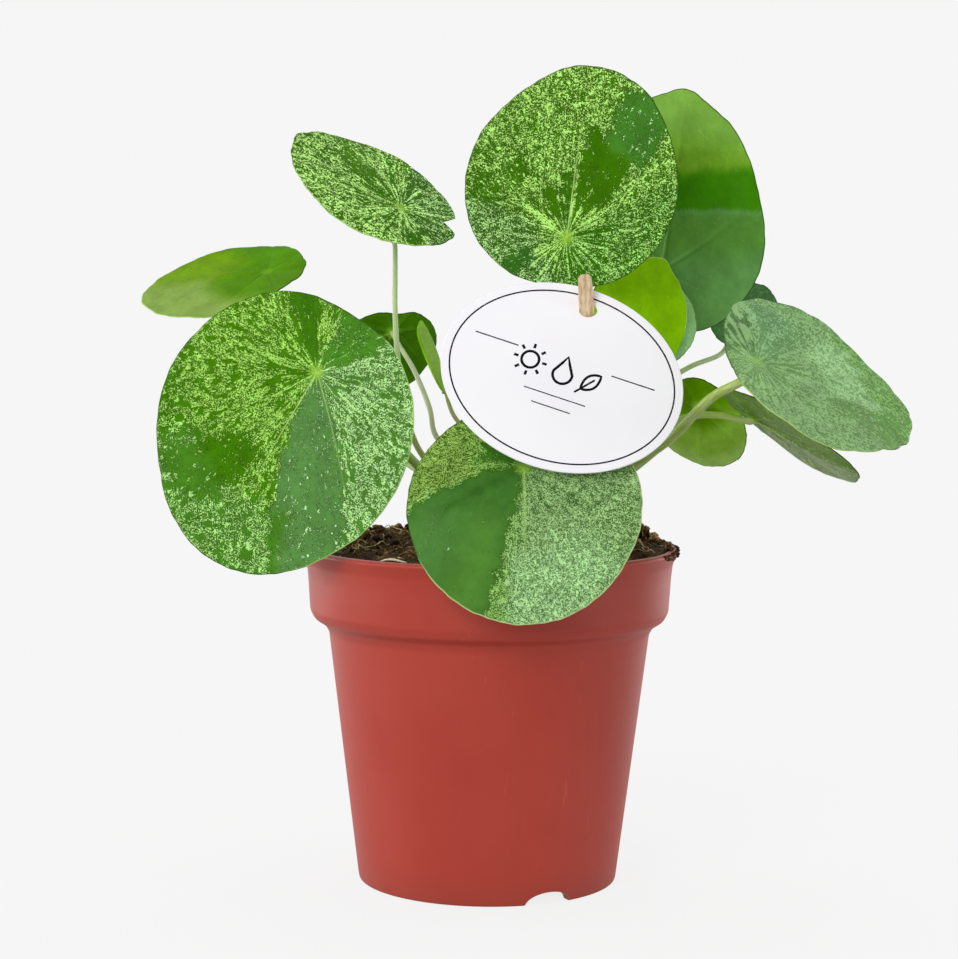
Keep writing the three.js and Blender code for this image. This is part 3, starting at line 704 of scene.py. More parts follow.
# A patch is (near, from, to, far, from, to, speckle, colour, edge): a sector between two
# reaches in millimetres, with its two sides' angles from the tip at each, in degrees. A band
# is (start, end, softness, colour): all that lies to the left of a straight line across.
USUAL_LOOK = dict(
    speckle=-0.5, spot=0.9, blotch=0.2, plain=0.45, streak=0.3, grain=1.8, contrast=0.15, veins={},
    vein=0.1, vein_width=0.2, ridge=0.24, lit=(0, 0), edge_highlight=(176, 214, 118), edge=0.75, gloss=0.02,
    patches=[], bands=[])
LOOKS = {  # what is each leaf's own
    # Painted sheen: the bluer greens of a's patches are partly a's own tone and partly a pale sheen
    # painted on its right and lower part.
    "a": dict(deep=(66, 124, 0), lift=90, speckle=0.05, spot=0.55, blotch=0.8, streak=2, grain=0.48,
        contrast=1, veins={0: 0.75, -1: 0.45}, vein=0.03, lit=(-150, -20), patches=[
        (0, -180, -20, 70, -180, -20, 0.02, (78, 130, 44), 9),
        (3, -57, -2, 66, -38, -20, -0.46, (88, 138, 66), 2.4),
        (30, 4, 26, 56, 14, 34, -0.48, (62, 120, 0), 4),
        (4, 126, 152, 40, 130, 146, -0.55, (60, 118, 4), 2),
        (5, -184, -128, 30, -182, -146, -0.52, (74, 136, 32), 2.2),
        (44, 30, 100, 62, 30, 100, -0.1, (60, 120, 0), 6),
        (44, -20, 40, 70, -20, 40, -0.06, (70, 128, 26), 7)]),
    "b": dict(deep=(60, 118, 0), lift=132, speckle=0.02, spot=0.5, blotch=0.7, plain=0.43, streak=2.6,
        grain=0.55, contrast=1, vein=0, lit=(-150, -20), patches=[
        (14, 8, 36, 30, 10, 28, -0.36, (74, 132, 10), 3),
        (28, 22, 40, 42, 24, 40, -0.2, (74, 132, 10), 3),
        (6, -16, 14, 14, -10, 10, -0.4, None, 3), (18, 70, 98, 38, 60, 96, -0.1, (74, 134, 4), 4),
        (16, 16, 34, 30, 18, 30, 0, (74, 134, 4), 4), (14, -140, -108, 22, -136, -112, -0.4, None, 2.5),
        (3, 75, 215, 34, 75, 215, -0.08, (56, 112, 10), 3)]),
    "c": dict(deep=(84, 140, 0), lift=12, streak=0.5, grain=1.6, vein=0.04, spot=0.2, lit=(-60, 30),
        patches=[
        (0, 60, 180, 60, 60, 180, 0, (82, 142, 0), 8), (14, 12, 60, 70, 0, 62, 0.05, (112, 158, 6), 12),
        (20, -70, 12, 70, -70, 12, 0.08, (136, 168, 78), 12)]),
    "d": dict(deep=(60, 112, 12), lift=78, speckle=0.07, spot=0.45, blotch=0.12, vein_width=0.4,
        streak=0.6, grain=0.34, contrast=0.85, veins={0: 0.5}, vein=0, lit=(-110, 50),
        edge_highlight=(206, 220, 150), patches=[
        (0, -100, 8, 60, -100, 4, 0, (78, 120, 48), 8), (26, -40, 10, 60, -50, 6, 0.03, (90, 138, 66), 8),
        (14, 78, 130, 50, 70, 130, 0, (64, 106, 8), 6),
        (2, 14, 84, 50, 15, 62, -1, (64, 114, 42), 2.6),
        (16, 15, 50, 50, 15, 34, 0, (78, 128, 46), 10),
        (26, 38, 66, 64, 34, 66, 0.16, (80, 130, 58), 14),
        (3, 104, 140, 13, 106, 132, -0.6, (60, 112, 26), 2.6),
        (4, -56, -48, 24, -54, -51, -0.12, (64, 108, 38), 1.4),
        (5, -30, -25, 17, -28, -25, -0.1, (66, 108, 38), 1),
        (5, 58, 66, 28, 60, 63, 0, (56, 104, 32), 2), (33, 40, 44, 36, 40, 44, 0.75, None, 2)]),
    # Painted light: f's green is lighter than its own, to make up for the shade of the leaves in front.
    "f": dict(deep=(80, 138, 10), lift=12, grain=1.4, vein=0.05),
    "g": dict(deep=(62, 118, 0), lift=108, speckle=-0.03, spot=0.55, blotch=0.6, plain=0.38, streak=2.9,
        grain=0.5, contrast=1, veins={0: 0.9}, vein=0, lit=(-125, -105), patches=[
        (0, 60, 180, 60, 60, 180, -0.07, (50, 110, 0), 7), (3, 130, 230, 24, 140, 220, -0.05, None, 4),
        (10, -180, -70, 60, -180, -76, 0, (62, 114, 22), 6),
        (15, 6, 46, 33, 6, 36, -0.6, (58, 112, 0), 2.6),
        (31, 16, 46, 50, 16, 40, -0.44, (66, 124, 36), 3.5),
        (3, -18, 0, 22, -8, 0, -0.5, (54, 112, 0), 2), (7, -42, -16, 16, -36, -18, -0.4, None, 2),
        (24, -54, -36, 32, -54, -38, -0.3, None, 2.6), (26, -74, -56, 36, -72, -58, -0.3, None, 2.6),
        (11, -130, -110, 24, -128, -112, -0.5, (54, 110, 26), 2.4),
        (10, 10, 32, 17, 10, 32, -0.4, None, 1.8)]),
    # Painted light: h's greens are lighter than its own, to make up for the shade of the leaves in front.
    # The bands near its tip are lighter still, for light that shines through the blade. The bands further
    # down are bluer, for a painted sheen.
    "h": dict(deep=(66, 138, 4), lift=8, blotch=0.3, contrast=0.1, vein=0.04, ridge=0.08, bands=[
        ((0.5, 32.8), (-28, 41.6), 3.5, (120, 172, 44)), ((10, 44), (-30, 47), 9, (126, 176, 70)),
        ((-36, 29.4), (-3, 21.2), 1, (108, 160, 92)), ((-36, 28.3), (-3, 20.1), 1.2, (94, 150, 60)),
        ((-36, 15), (-3, 5), 8, (104, 158, 84))]),
    # Painted light: i's deep green is brighter than its own and stands in for light that shines through
    # the blade.
    "i": dict(deep=(136, 196, 0), lift=10, streak=0.4, contrast=0.08, vein=0.08, lit=(-30, 60),
        edge_highlight=(190, 230, 110)),
    # Painted light: j's green is lighter and bluer than its own, to make up for the shade that leaf i
    # casts on it.
    "j": dict(deep=(156, 210, 138), lift=12, speckle=-0.4, streak=0.6, grain=1.4, vein=0.06),
    # Painted sheen: k's grey-blue greens are partly its own and partly a whitish sheen of its waxy face,
    # painted in.
    "k": dict(deep=(104, 148, 82), lift=36, speckle=0.1, blotch=0.5, plain=0.42, streak=3, grain=0.9,
        contrast=0.3, spot=0.3, gloss=0.1, lit=(30, 130), edge_highlight=(170, 200, 110), patches=[
        (24, -40, 14, 60, -40, 14, 0.05, (124, 170, 104), 8),
        (6, -84, -40, 30, -88, -48, -0.2, (102, 148, 90), 5),
        (24, 10, 30, 50, 8, 30, -0.2, (98, 142, 72), 5), (4, -140, -84, 30, -140, -84, 0.3, None, 2),
        (4, -94, -90, 24, -93, -89, -0.6, (80, 122, 62), 1),
        (5, -108, -103, 24, -106, -102, -0.6, (80, 122, 62), 1),
        (5, -122, -117, 22, -119, -115, -0.6, (80, 122, 62), 1),
        (5, -138, -132, 18, -134, -130, -0.6, (80, 122, 62), 1),
        (5, -160, -152, 12, -156, -150, -0.6, (88, 130, 66), 0.8),
        (40, -40, 30, 70, -40, 30, -0.1, (98, 150, 66), 6)]),
    "l": dict(deep=(103, 148, 40), lift=26, speckle=-0.1, blotch=0.4, streak=0.8, grain=1.1, contrast=0.4,
        veins={0: 0.8}, vein=0.08, gloss=0.1, patches=[
        (0, -90, 4, 60, -90, 2, 0.1, (132, 162, 100), 3)]),
    # Painted light: the two paler patches lighten the tip half of m, to make up for the shade it stands
    # in.
    "m": dict(deep=(102, 156, 0), lift=12, blotch=0.3, contrast=0.1, vein=0.05, patches=[
        (8, -100, 100, 40, -90, 90, 0, (144, 197, 64), 7),
        (19, -90, 90, 40, -90, 90, 0, (166, 212, 104), 5)]),
    "n": dict(deep=(94, 142, 84), lift=18, speckle=-0.1, blotch=0.3, streak=0.6, grain=0.9, contrast=0.3,
        vein=0.08),
    # Painted light: p's yellow-green is lighter than its own, to make up for the shade of the leaves in
    # front.
    "p": dict(deep=(164, 224, 44), lift=10, speckle=-0.4, streak=0.4, grain=1.2, contrast=0.1, edge=0.3,
        patches=[
        (12, -200, 200, 24, -200, 200, 0, (128, 188, 26), 6)]),
}
SPECKLED, SHOWS_UNDERSIDE = "abdgk", "fhlm"
NICK = {"b": (165, 9, 4.5)}  # its middle and half its width in degrees, and its depth
SCALLOPS = {"k": 0.7, "b": 0.4, "c": 0.4}  # how deep the edge's scallops are
TRIMS = {"k": 0.5, "g": 0.22, "c": 0.3}  # how far the edge keeps inside the plain outline


def bent(angle, middle):
    """An angle's way from a middle one, wrapped to half a turn each way."""
    return np.arctan2(np.sin(angle - middle), np.cos(angle - middle))


def blade_edge(leaf, angle):
    """The edge of a blade, across and along from the stalk, at an angle from the tip."""
    length, width = leaf["size"]
    along = length / 2 * np.cos(angle) + (0.5 - leaf["base"]) * length
    along += leaf["point"] * np.exp(-((bent(angle, 0) / 0.22) ** 2))
    along += leaf["sinus"] * np.exp(-((bent(angle, pi) / 0.25) ** 2))
    return width / 2 * np.sin(angle) * (1 + leaf["egg"] * np.cos(angle)), along


def blade_height(leaf, across, along, angle, share):
    """The height of a blade's upper face over its flat plane, as its solid has it."""
    length, width = leaf["size"]
    height = leaf["bend"] * 0.5 * along**2 / length + leaf["cup"] * 0.5 * across**2 / width
    height = height + leaf["curl"] * np.clip(across / width * 2, 0, 2) ** 2
    return height + leaf["fold"] * np.abs(across) + leaf["wave"] * share**3 * np.sin(5 * angle + length)


VEINS = 7


def vein_distance(across, along):
    """How far a spot lies from the nearest vein, in millimetres, and which one that is."""
    reach = np.hypot(across, along)
    turn = np.arctan2(across, along) * (1 + 0.0022 * reach) * VEINS / tau
    return np.abs(turn - np.round(turn)) * tau / VEINS * reach, np.round(turn)


def ragged(reach, turn, fingers, waves, dice):
    """An uneven run between about -1 and 1, for the ends and the sides of a patch."""
    run = np.zeros_like(reach)
    for _ in range(7):
        run += np.sin(dice.integers(*fingers) * turn + dice.uniform(*waves) * reach + dice.uniform(0, 6.3))
    return run / 3.5


def patch_share(reach, angle, patch, ends, sides):
    """How fully a patch covers each spot."""
    near, near_from, near_to, far, far_from, far_to = patch[:6]
    edge = patch[8]
    way = np.clip((reach - near) / (far - near), 0, 1)
    low, high = near_from + (far_from - near_from) * way, near_to + (far_to - near_to) * way
    off = np.degrees(bent(angle, np.radians((low + high) / 2)))
    side = np.radians((high - low) / 2 - np.abs(off)) * np.maximum(reach, 1) + sides
    inner = np.where(near > 0, reach - near + ends, 99)
    within = np.clip(np.minimum(np.minimum(inner, far - reach + ends), side) / edge + 0.5, 0, 1)
    return within * within * (3 - 2 * within)


def read(items, name):
    """One number of each of a mesh's corners or faces."""
    values = np.zeros(len(items), np.int64)
    items.foreach_get(name, values)
    return values


def blade_piece(key, leaf, look, number):
    """The mesh of one leaf's blade, with all that its material reads from it."""
    folded = leaf["fold"] > 0
    small = leaf["size"][0] < 45
    sides, rings = (140, 26) if small else (224, 46)
    angle = -tau * np.arange(sides) / sides
    edge_across, edge_along = blade_edge(leaf, angle)
    radius = np.hypot(edge_across, edge_along)
    dice = np.random.default_rng(40 + number)
    rim = np.zeros(sides)
    for count, depth in ((3, 0.12), (7, 0.1), (13, 0.08), (29, 0.06), (47, 0.05)):
        rim -= depth * np.sin(count * angle + dice.uniform(0, 6.3))
    rim += SCALLOPS.get(key, 0.1) * (0.4 - np.abs(np.sin(8.5 * angle + dice.uniform(0, 3))))
    middle, half, depth = NICK.get(key, (0, 1, 0))
    off = np.abs(np.degrees(bent(angle, radians(middle))))
    rim += depth * np.clip(1 - off / half, 0, 1)
    trim = np.ones(sides) if folded else 1 - (rim + TRIMS.get(key, 0.05)) / radius
    shares = (np.arange(1, rings + 1) / rings) ** 0.9
    shares[-1] = 1 - 0.25 / np.mean(radius)
    shares = np.concatenate([shares, [1], shares[::-1]])
    under = np.arange(len(shares)) > rings
    share = shares[:, None] * np.ones(sides)
    across, along = edge_across * trim * share, edge_along * trim * share
    reach = np.hypot(across, along)
    height = blade_height(leaf, across, along, angle, share)

    # The fine form: veins sunk above and raised below, soft swells between them, and a dimple.
    away, which = vein_distance(across, along)
    fade = np.clip(1.25 - share, 0, 1) * np.where(which == 0, 1.4, 1)
    sunk = 0.26 * np.exp(-((away / 0.55) ** 2)) * fade
    swell = 0.34 * np.clip(away / 6, 0, 1) ** 1.5 * np.clip(reach / 14, 0, 1)
    swell *= np.clip((1 - share) * 5, 0, 1)
    uneven = np.zeros_like(reach)
    for _ in range(5):
        ax, ay = dice.normal(size=2) / 9
        uneven += 0.13 * np.sin(ax * across + ay * along + dice.uniform(0, 6.3))
    dimple = 0.3 * np.exp(-((reach / 2.2) ** 2))
    settled = np.clip(reach / 3, 0, 1)
    top = height + (-sunk if folded else swell - dimple + (uneven - sunk) * settled)

    # The underside lies a blade's thickness below, along the upper face's unit normals. Next to
    # the edge, where the two faces meet, the slope is taken from one side only.
    spots = np.stack([across, along, top], -1)
    round_way = np.roll(spots, -1, 1) - np.roll(spots, 1, 1)
    out_way = np.empty_like(spots)
    out_way[1:-1] = spots[2:] - spots[:-2]
    out_way[0], out_way[-1] = spots[1] - spots[0], spots[-1] - spots[-2]
    for row, step in ((rings, -2), (rings - 1, -2), (rings + 1, 2)):
        out_way[row] = spots[row] - spots[row + step]
    normal = np.cross(out_way, round_way)
    normal *= np.sign(normal[..., 2:3]) + (normal[..., 2:3] == 0)
    normal /= np.linalg.norm(normal, axis=-1, keepdims=True)
    thick = BLADE_THICKNESS * (1 - 0.5 * np.clip((share - 0.86) / 0.14, 0, 1) ** 2)
    ridge = look["ridge"] * np.exp(-((away / 0.8) ** 2)) * fade
    ridge = ridge + 0.5 * np.exp(-((reach / 2.4) ** 2))
    drop = np.where(under[:, None], thick + (0 if folded else ridge), 0)
    drop[rings] = thick[rings] / 2
    spots = spots - normal * drop[..., None]
    local = np.vstack([[(0, 0, -0.3)], spots.reshape(-1, 3), [(0, 0, -1.3)]])
    axes = np.array([tuple(v) for v in blade_axes(leaf)])
    mesh = mesh_of("blade_" + key, local @ axes + np.array(leaf["at"]), ring_faces(len(shares), sides))

    # What is painted on it: how speckled each spot is, and its deep and its pale green.
    turn = np.arctan2(across, along)
    speckle = np.full_like(reach, look["speckle"])
    deep = np.ones((*reach.shape, 3)) * np.array(look["deep"], float)
    fray = 1 if key in SPECKLED else 0.2
    ends_run = 2.2 * fray * ragged(reach, turn, (6, 34), (-0.25, 0.25), dice)
    sides_run = fray * ragged(reach, turn, (-9, 10), (0.3, 1.6), dice) * np.clip(reach / 12, 0.1, 1)
    for patch in look["patches"]:
        cover = patch_share(reach, turn, patch, ends_run, sides_run)
        speckle += cover * patch[6]
        if patch[7] is not None:
            deep += cover[..., None] * (np.array(patch[7], float) - deep)
    for start, end, soft, colour in look["bands"]:
        run, rise = end[0] - start[0], end[1] - start[1]
        beyond = (run * (along - start[1]) - rise * (across - start[0])) / -hypot(run, rise)
        cover = np.clip((beyond + ends_run) / soft + 0.5, 0, 1)[..., None]
        deep += cover * (np.array(colour, float) - deep)
    lift = np.full_like(reach, float(look["lift"]))
    shown = (key in SHOWS_UNDERSIDE) == under
    matt = deep * 0.35 + np.array((150, 182, 112)) * 0.65
    other = matt if key not in SHOWS_UNDERSIDE else deep * 0.2 + np.array((62, 118, 26)) * 0.8
    deep = np.where(shown[:, None, None], deep, other)
    lift = np.where(shown[:, None], lift, lift * 0.35)
    pale = light_of(deep + lift[..., None] * (0.99, 0.95, 1))
    deep = light_of(deep)

    def ends(field):
        """The same field with the first and the last point's values, as one row a point."""
        flat = field.reshape(-1, *field.shape[2:])
        return np.concatenate([flat[:1], flat, flat[-1:]])

    place = ends(np.stack([across, along, np.zeros_like(across)], -1))
    place[[0, -1]] = 0
    carry(mesh, "place", place, "FLOAT_VECTOR")
    vein = np.full_like(reach, look["vein"])
    for nth, paleness in look["veins"].items():
        vein[which == nth] = paleness
    carry(mesh, "vein", ends(vein))
    carry(mesh, "inward", ends((1 - share) * radius))
    carry(mesh, "speckle", ends(speckle))
    # Painted highlight: in the sector that lit gives, the blade's edge takes a pale green, as if light
    # caught it there. Round the rest of the edge it takes a dark green line.
    begin, finish = look["lit"]
    lit = np.degrees(bent(turn, radians((begin + finish) / 2)))
    lit = np.clip(((finish - begin) / 2 - np.abs(lit)) / 12, 0, 1)[..., None]
    rim = light_of((50, 78, 16)) * (1 - lit) + light_of(look["edge_highlight"]) * lit
    for name, tint in (("rim", rim), ("deep", deep), ("pale", pale)):
        carry(mesh, name, ends(np.concatenate([tint, np.ones_like(tint[..., :1])], -1)), "FLOAT_COLOR")

    # A flat layout for baking: the upper face at the left, the underside at the right.
    chart = np.stack([across, along], -1) / (1.04 * np.max(radius))
    chart[rings] *= 1.03
    chart = np.concatenate([[[0, 0]], chart.reshape(-1, 2), [[0, 0]]]) * 0.24
    corners = read(mesh.loops, "vertex_index")
    starts, totals = read(mesh.polygons, "loop_start"), read(mesh.polygons, "loop_total")
    upper = np.maximum.reduceat(corners, starts) <= (rings + 1) * sides
    upper &= np.minimum.reduceat(corners, starts) <= rings * sides
    spot = chart[corners]
    spot[:, 0] = np.where(np.repeat(upper, totals), 0.25 + spot[:, 0], 0.75 - spot[:, 0])
    spot[:, 1] += 0.5
    layer = mesh.uv_layers.new(name="OFBake")
    layer.data.foreach_set("uv", spot.astype(np.float32).ravel())
    return mesh


tree, given, made = new_group(
    "pale speckle",
    [("Place", "Vector", None), ("Speckle", "Float", 0), ("Grain", "Float", 0.6), ("Blotch", "Float", 1),
     ("Plain", "Float", 0.45), ("Streak", "Float", 1), ("Seed", "Float", 0)],
    [("Pale", "Float"), ("Cloud", "Float"), ("Depth", "Float")],
)
variegation = tree
reach = vector_of(tree, "LENGTH", given["Place"])
heading = vector_of(tree, "NORMALIZE", given["Place"])
seeded = add(tree, "CombineXYZ", {"Z": given["Seed"]}).outputs[0]
fine_scale = sum_of(tree, "DIVIDE", 1, given["Grain"])
fine_place = vector_of(tree, "ADD", vector_of(tree, "SCALE", given["Place"], scale=fine_scale), seeded)
fine = grain(tree, fine_place, 1.2, 1, 0.5, 0.7)
cluster = grain(tree, fine_place, 0.35, 2, 0.6, 0.4)


def polar(turns, run, shift):
    """A place that is drawn out along the veins: wedges that widen away from the stalk."""
    around = vector_of(tree, "SCALE", heading, scale=turns)
    outward = add(tree, "CombineXYZ", {"Z": sum_of(tree, "DIVIDE", reach, run)}).outputs[0]
    offset = vector_of(tree, "SCALE", seeded, scale=shift)
    return vector_of(tree, "ADD", vector_of(tree, "ADD", around, outward), offset)


def swung(value, weight, level):
    """The level, moved up or down by a noise value whose middle is 0.5."""
    return sum_of(tree, "MULTIPLY_ADD", sum_of(tree, "SUBTRACT", value, 0.5), weight, level)


near_patches = grain(tree, polar(6.5, 7, 3.7), 1, 4, 0.62, 0.3)
far_patches = grain(tree, polar(17, 3.8, 2.3), 1, 4, 0.62, 0.3)
beyond = stepped(tree, reach, 10, 30)
growth = sum_of(tree, "SUBTRACT", far_patches, near_patches)
patches = sum_of(tree, "MULTIPLY_ADD", growth, beyond, near_patches)
webbed = sum_of(tree, "SUBTRACT", patches, given["Plain"])
webbed = stepped(tree, webbed, -0.025, 0.025, -0.9, 0)
streaks = grain(tree, polar(11, 16, 1.9), 1, 2, 0.6)
near_stalk = stepped(tree, reach, 28, 5)
dashes = stepped(tree, grain(tree, polar(36, 2, 1.1), 1, 1, 0.5), 0.62, 0.7, 0, 0.55)
level = swung(fine, 2.4, given["Speckle"])
level = swung(cluster, 1, level)
level = sum_of(tree, "MULTIPLY_ADD", webbed, given["Blotch"], level)
level = swung(streaks, times(tree, given["Streak"], near_stalk), level)
level = sum_of(tree, "ADD", level, dashes)
plug(tree, made["Pale"], stepped(tree, level, -0.05, 0.05))
plug(tree, made["Cloud"], grain(tree, given["Place"], 0.11, 5, 0.62))
darkest_round_the_pale = stepped(tree, level, -0.42, -0.04, 1, 0.26)
brightest_in_the_pale = stepped(tree, level, -0.06, 0.3, 1, 4.6)
plug(tree, made["Depth"], times(tree, darkest_round_the_pale, brightest_in_the_pale))

tree, given, made = new_group(
    "vein star",
    [("Place", "Vector", None), ("Width", "Float", 0.35), ("Reach", "Float", 40)],
    [("Vein", "Float"), ("Spot", "Float")],
)
vein_star = tree
flat = add(tree, "SeparateXYZ", {0: given["Place"]}).outputs
reach = vector_of(tree, "LENGTH", given["Place"])
turn = sum_of(tree, "ARCTAN2", flat["X"], flat["Y"])
curl = sum_of(tree, "MULTIPLY_ADD", reach, 0.0022, 1)
turn = times(tree, times(tree, turn, curl), VEINS / tau)
off = sum_of(tree, "ABSOLUTE", sum_of(tree, "SUBTRACT", turn, sum_of(tree, "ROUND", turn)))
away = times(tree, times(tree, off, reach), tau / VEINS)
outer, inner = (times(tree, given["Width"], share) for share in (1.6, 0.4))
line = stepped(tree, away, outer, inner)
plug(tree, made["Vein"], times(tree, line, stepped(tree, reach, given["Reach"], 6)))
plug(tree, made["Spot"], stepped(tree, reach, 3.4, 0.8))

for number, (key, leaf) in enumerate(LEAVES.items()):
    look = {**USUAL_LOOK, **LOOKS[key]}
    blade_skin, tree = new_material("leaf blade " + key)
    place = painted(tree, "place", "Vector")
    deep, pale = painted(tree, "deep", "Color"), painted(tree, "pale", "Color")
    marks = placed(tree, variegation, {
        "Place": place, "Speckle": painted(tree, "speckle"), "Grain": look["grain"],
        "Blotch": look["blotch"], "Plain": look["plain"], "Streak": look["streak"],
        "Seed": 5 + 11.3 * number})
    star = placed(tree, vein_star, {
        "Place": place, "Width": look["vein_width"], "Reach": leaf["size"][0] * 0.62})
    colour = blended(tree, marks["Pale"], deep, pale)
    shade = stepped(tree, marks["Cloud"], 0.32, 0.68, 0.86, 1.12)
    contrast = look["contrast"]
    depth = sum_of(tree, "MULTIPLY_ADD", sum_of(tree, "SUBTRACT", marks["Depth"], 1), contrast, 1)
    shade = times(tree, shade, depth)
    shaded = add(tree, "CombineColor", {0: shade, 1: shade, 2: shade}).outputs[0]
    colour = blended(tree, 1, colour, shaded, "MULTIPLY")
    vein_share = times(tree, star["Vein"], painted(tree, "vein"))
    colour = blended(tree, vein_share, colour, linear(176, 216, 122))
    spot_share = times(tree, star["Spot"], look["spot"])
    colour = blended(tree, spot_share, colour, linear(158, 208, 62))
    # The edge colour: a painted highlight in the lit sector, and a dark green line elsewhere.
    rim = stepped(tree, painted(tree, "inward"), 0.5, 0.15, 0, look["edge"])
    colour = blended(tree, rim, colour, painted(tree, "rim", "Color"))
    cells = grain(tree, place, 3.2, 2, 0.6)
    gloss = stepped(tree, cells, 0.3, 0.7, 0.42, 0.56)
    finished(tree, cells, 0.12, 0.00025, Base_Color=colour, Roughness=gloss,
             Specular_IOR_Level=look["gloss"])
    mesh = blade_piece(key, leaf, look, number)
    finish = "leaf_variegated" if key in SPECKLED else "leaf_plain"
    piece_of("blade_" + key, mesh, [blade_skin], finish, "leaf_" + key)


# Label card. A flat oval of white coated card, die cut with a small oval hole near its upper
# edge, by which it hangs on the stick. Its print is one black ink: a thin oval line, four
# short rules, and plain signs for light, water and leaf.

CARD_WIDTH, CARD_HEIGHT, CARD_THICKNESS = 73, 58, 0.8
CARD_CENTRE, CARD_LEAN, CARD_TURN = (20.5, -54.5, 163), 22, -19
STICK_TOP, STICK_RUN = Vector((27.14, -49.83, 193.15)), Vector((0.08, 0.3, -1)).normalized()
card_frame = (Matrix.Translation(CARD_CENTRE) @ Matrix.Rotation(radians(90 - CARD_LEAN), 4, "X")
              @ Matrix.Rotation(radians(CARD_TURN), 4, "Z"))
to_card = card_frame.inverted()
line_top, line_run = to_card @ STICK_TOP, to_card.to_3x3() @ STICK_RUN
hole = line_top - line_run * (line_top.z / line_run.z)
HOLE_HALF_WIDTH, HOLE_HALF_HEIGHT, HOLE_SHIFT = 2.7, 2.2, 0.45
CARD_SIDES, CARD_STEPS, BEVEL = 168, 30, 0.12
ring_turns = [tau * i / CARD_SIDES for i in range(CARD_SIDES)]


def oval(turns, inset, z=0):
    """Points on the card, a little way in from its edge."""
    wide, high = CARD_WIDTH / 2 - inset, CARD_HEIGHT / 2 - inset
    return [Vector((wide * cos(a), high * sin(a), z)) for a in turns]


def hole_ring(grow, z):
    """Points round the card's hole, which is level although the card hangs askew."""
    ring, tilt = [], radians(-CARD_TURN)
    for a in ring_turns:
        x = HOLE_SHIFT + (HOLE_HALF_WIDTH + grow) * cos(a - tilt)
        y = (HOLE_HALF_HEIGHT + grow) * sin(a - tilt)
        across, along = x * cos(tilt) - y * sin(tilt), x * sin(tilt) + y * cos(tilt)
        ring.append(Vector((hole.x + across, hole.y + along, z)))
    return ring


def card_points():
    """The card's two faces, its rounded edge and its hole, as one closed sheet of rings."""
    half = CARD_THICKNESS / 2
    rings = [oval(ring_turns, inset, z) for inset, z in
             ((BEVEL, half), (0, half - BEVEL), (0, BEVEL - half), (BEVEL, -half))]
    faces_out = []
    for z in (half, -half):
        outer, inner = oval(ring_turns, BEVEL, z), hole_ring(0.1, z)
        faces_out.append([[a.lerp(b, step / CARD_STEPS) for a, b in zip(outer, inner)]
                          for step in range(1, CARD_STEPS)])
    hole_rings = [hole_ring(grow, z) for z, grow in
                  ((half, 0.1), (half - 0.1, 0), (0.1 - half, 0), (-half, 0.1))]
    loop = [*rings, *faces_out[1], *reversed(hole_rings), *reversed(faces_out[0])]
    faces = []
    for r in range(len(loop)):
        this, next_one = r * CARD_SIDES, (r + 1) % len(loop) * CARD_SIDES
        for i in range(CARD_SIDES):
            j = (i + 1) % CARD_SIDES
            faces.append((this + i, next_one + i, next_one + j, this + j))
    return [point for ring in loop for point in ring], faces


def on_card(points):
    """Points on the plant from points on the card."""
    return [card_frame @ Vector(p) for p in points]


sheet_points, sheet_faces = card_points()
card_mesh = mesh_of("card_sheet", on_card(sheet_points), sheet_faces, 35)
card_white, tree = new_material("card, white and coated")
place = place_on(tree)
pulp = grain(tree, place, 2600, 3, 0.6)
cast = grain(tree, place, 24, 2, 0.5)
colour = blended(tree, stepped(tree, cast, 0.35, 0.65), linear(244, 242, 246), linear(247, 246, 249))
colour = blended(tree, stepped(tree, pulp, 0.6, 0.75, 0, 0.12), colour, linear(232, 230, 235))
rough = stepped(tree, cast, 0.35, 0.65, 0.5, 0.6)
finished(tree, pulp, 0.06, 0.0001, Base_Color=colour, Roughness=rough, Specular_IOR_Level=0.3)
piece_of("card_sheet", card_mesh, [card_white], "card_board", "label_card")

INK_BOTTOM, INK_TOP = 0.3, CARD_THICKNESS / 2 + 0.035
ink_points, ink_faces = [], []


def stroke(way, width, closed=False):
    """A printed line: a low strip of ink along a way on the card's face."""
    start, count = len(ink_points), len(way)
    for k, spot in enumerate(way):
        spot = Vector(spot)
        after = Vector(way[(k + 1) % count] if closed or k < count - 1 else way[k])
        before = Vector(way[k - 1] if closed or k > 0 else way[k])
        run = (after - before).normalized()
        aside = Vector((-run.y, run.x)) * width / 2
        for z, side in ((INK_BOTTOM, 1), (INK_TOP, 1), (INK_TOP, -1), (INK_BOTTOM, -1)):
            ink_points.append((spot.x + aside.x * side, spot.y + aside.y * side, z))
    for k in range(count if closed else count - 1):
        a, b = start + 4 * k, start + 4 * ((k + 1) % count)
        for c in range(4):
            d = (c + 1) % 4
            ink_faces.append((a + c, a + d, b + d, b + c))
    if not closed:
        ink_faces.append((start, start + 3, start + 2, start + 1))
        last = start + 4 * (count - 1)
        ink_faces.append((last, last + 1, last + 2, last + 3))


def arc(x, y, radius, begin, end, steps):
    """Points along part of a circle, from one angle to another."""
    turns = [radians(begin + (end - begin) * s / steps) for s in range(steps + 1)]
    return [(x + radius * cos(a), y + radius * sin(a)) for a in turns]


stroke([p.xy for p in oval([tau * i / 220 for i in range(220)], 2.6)], 0.46, closed=True)
stroke([(-28.7, 5), (-15.2, 5)], 0.36)
stroke([(13.8, 5), (27.2, 5)], 0.36)
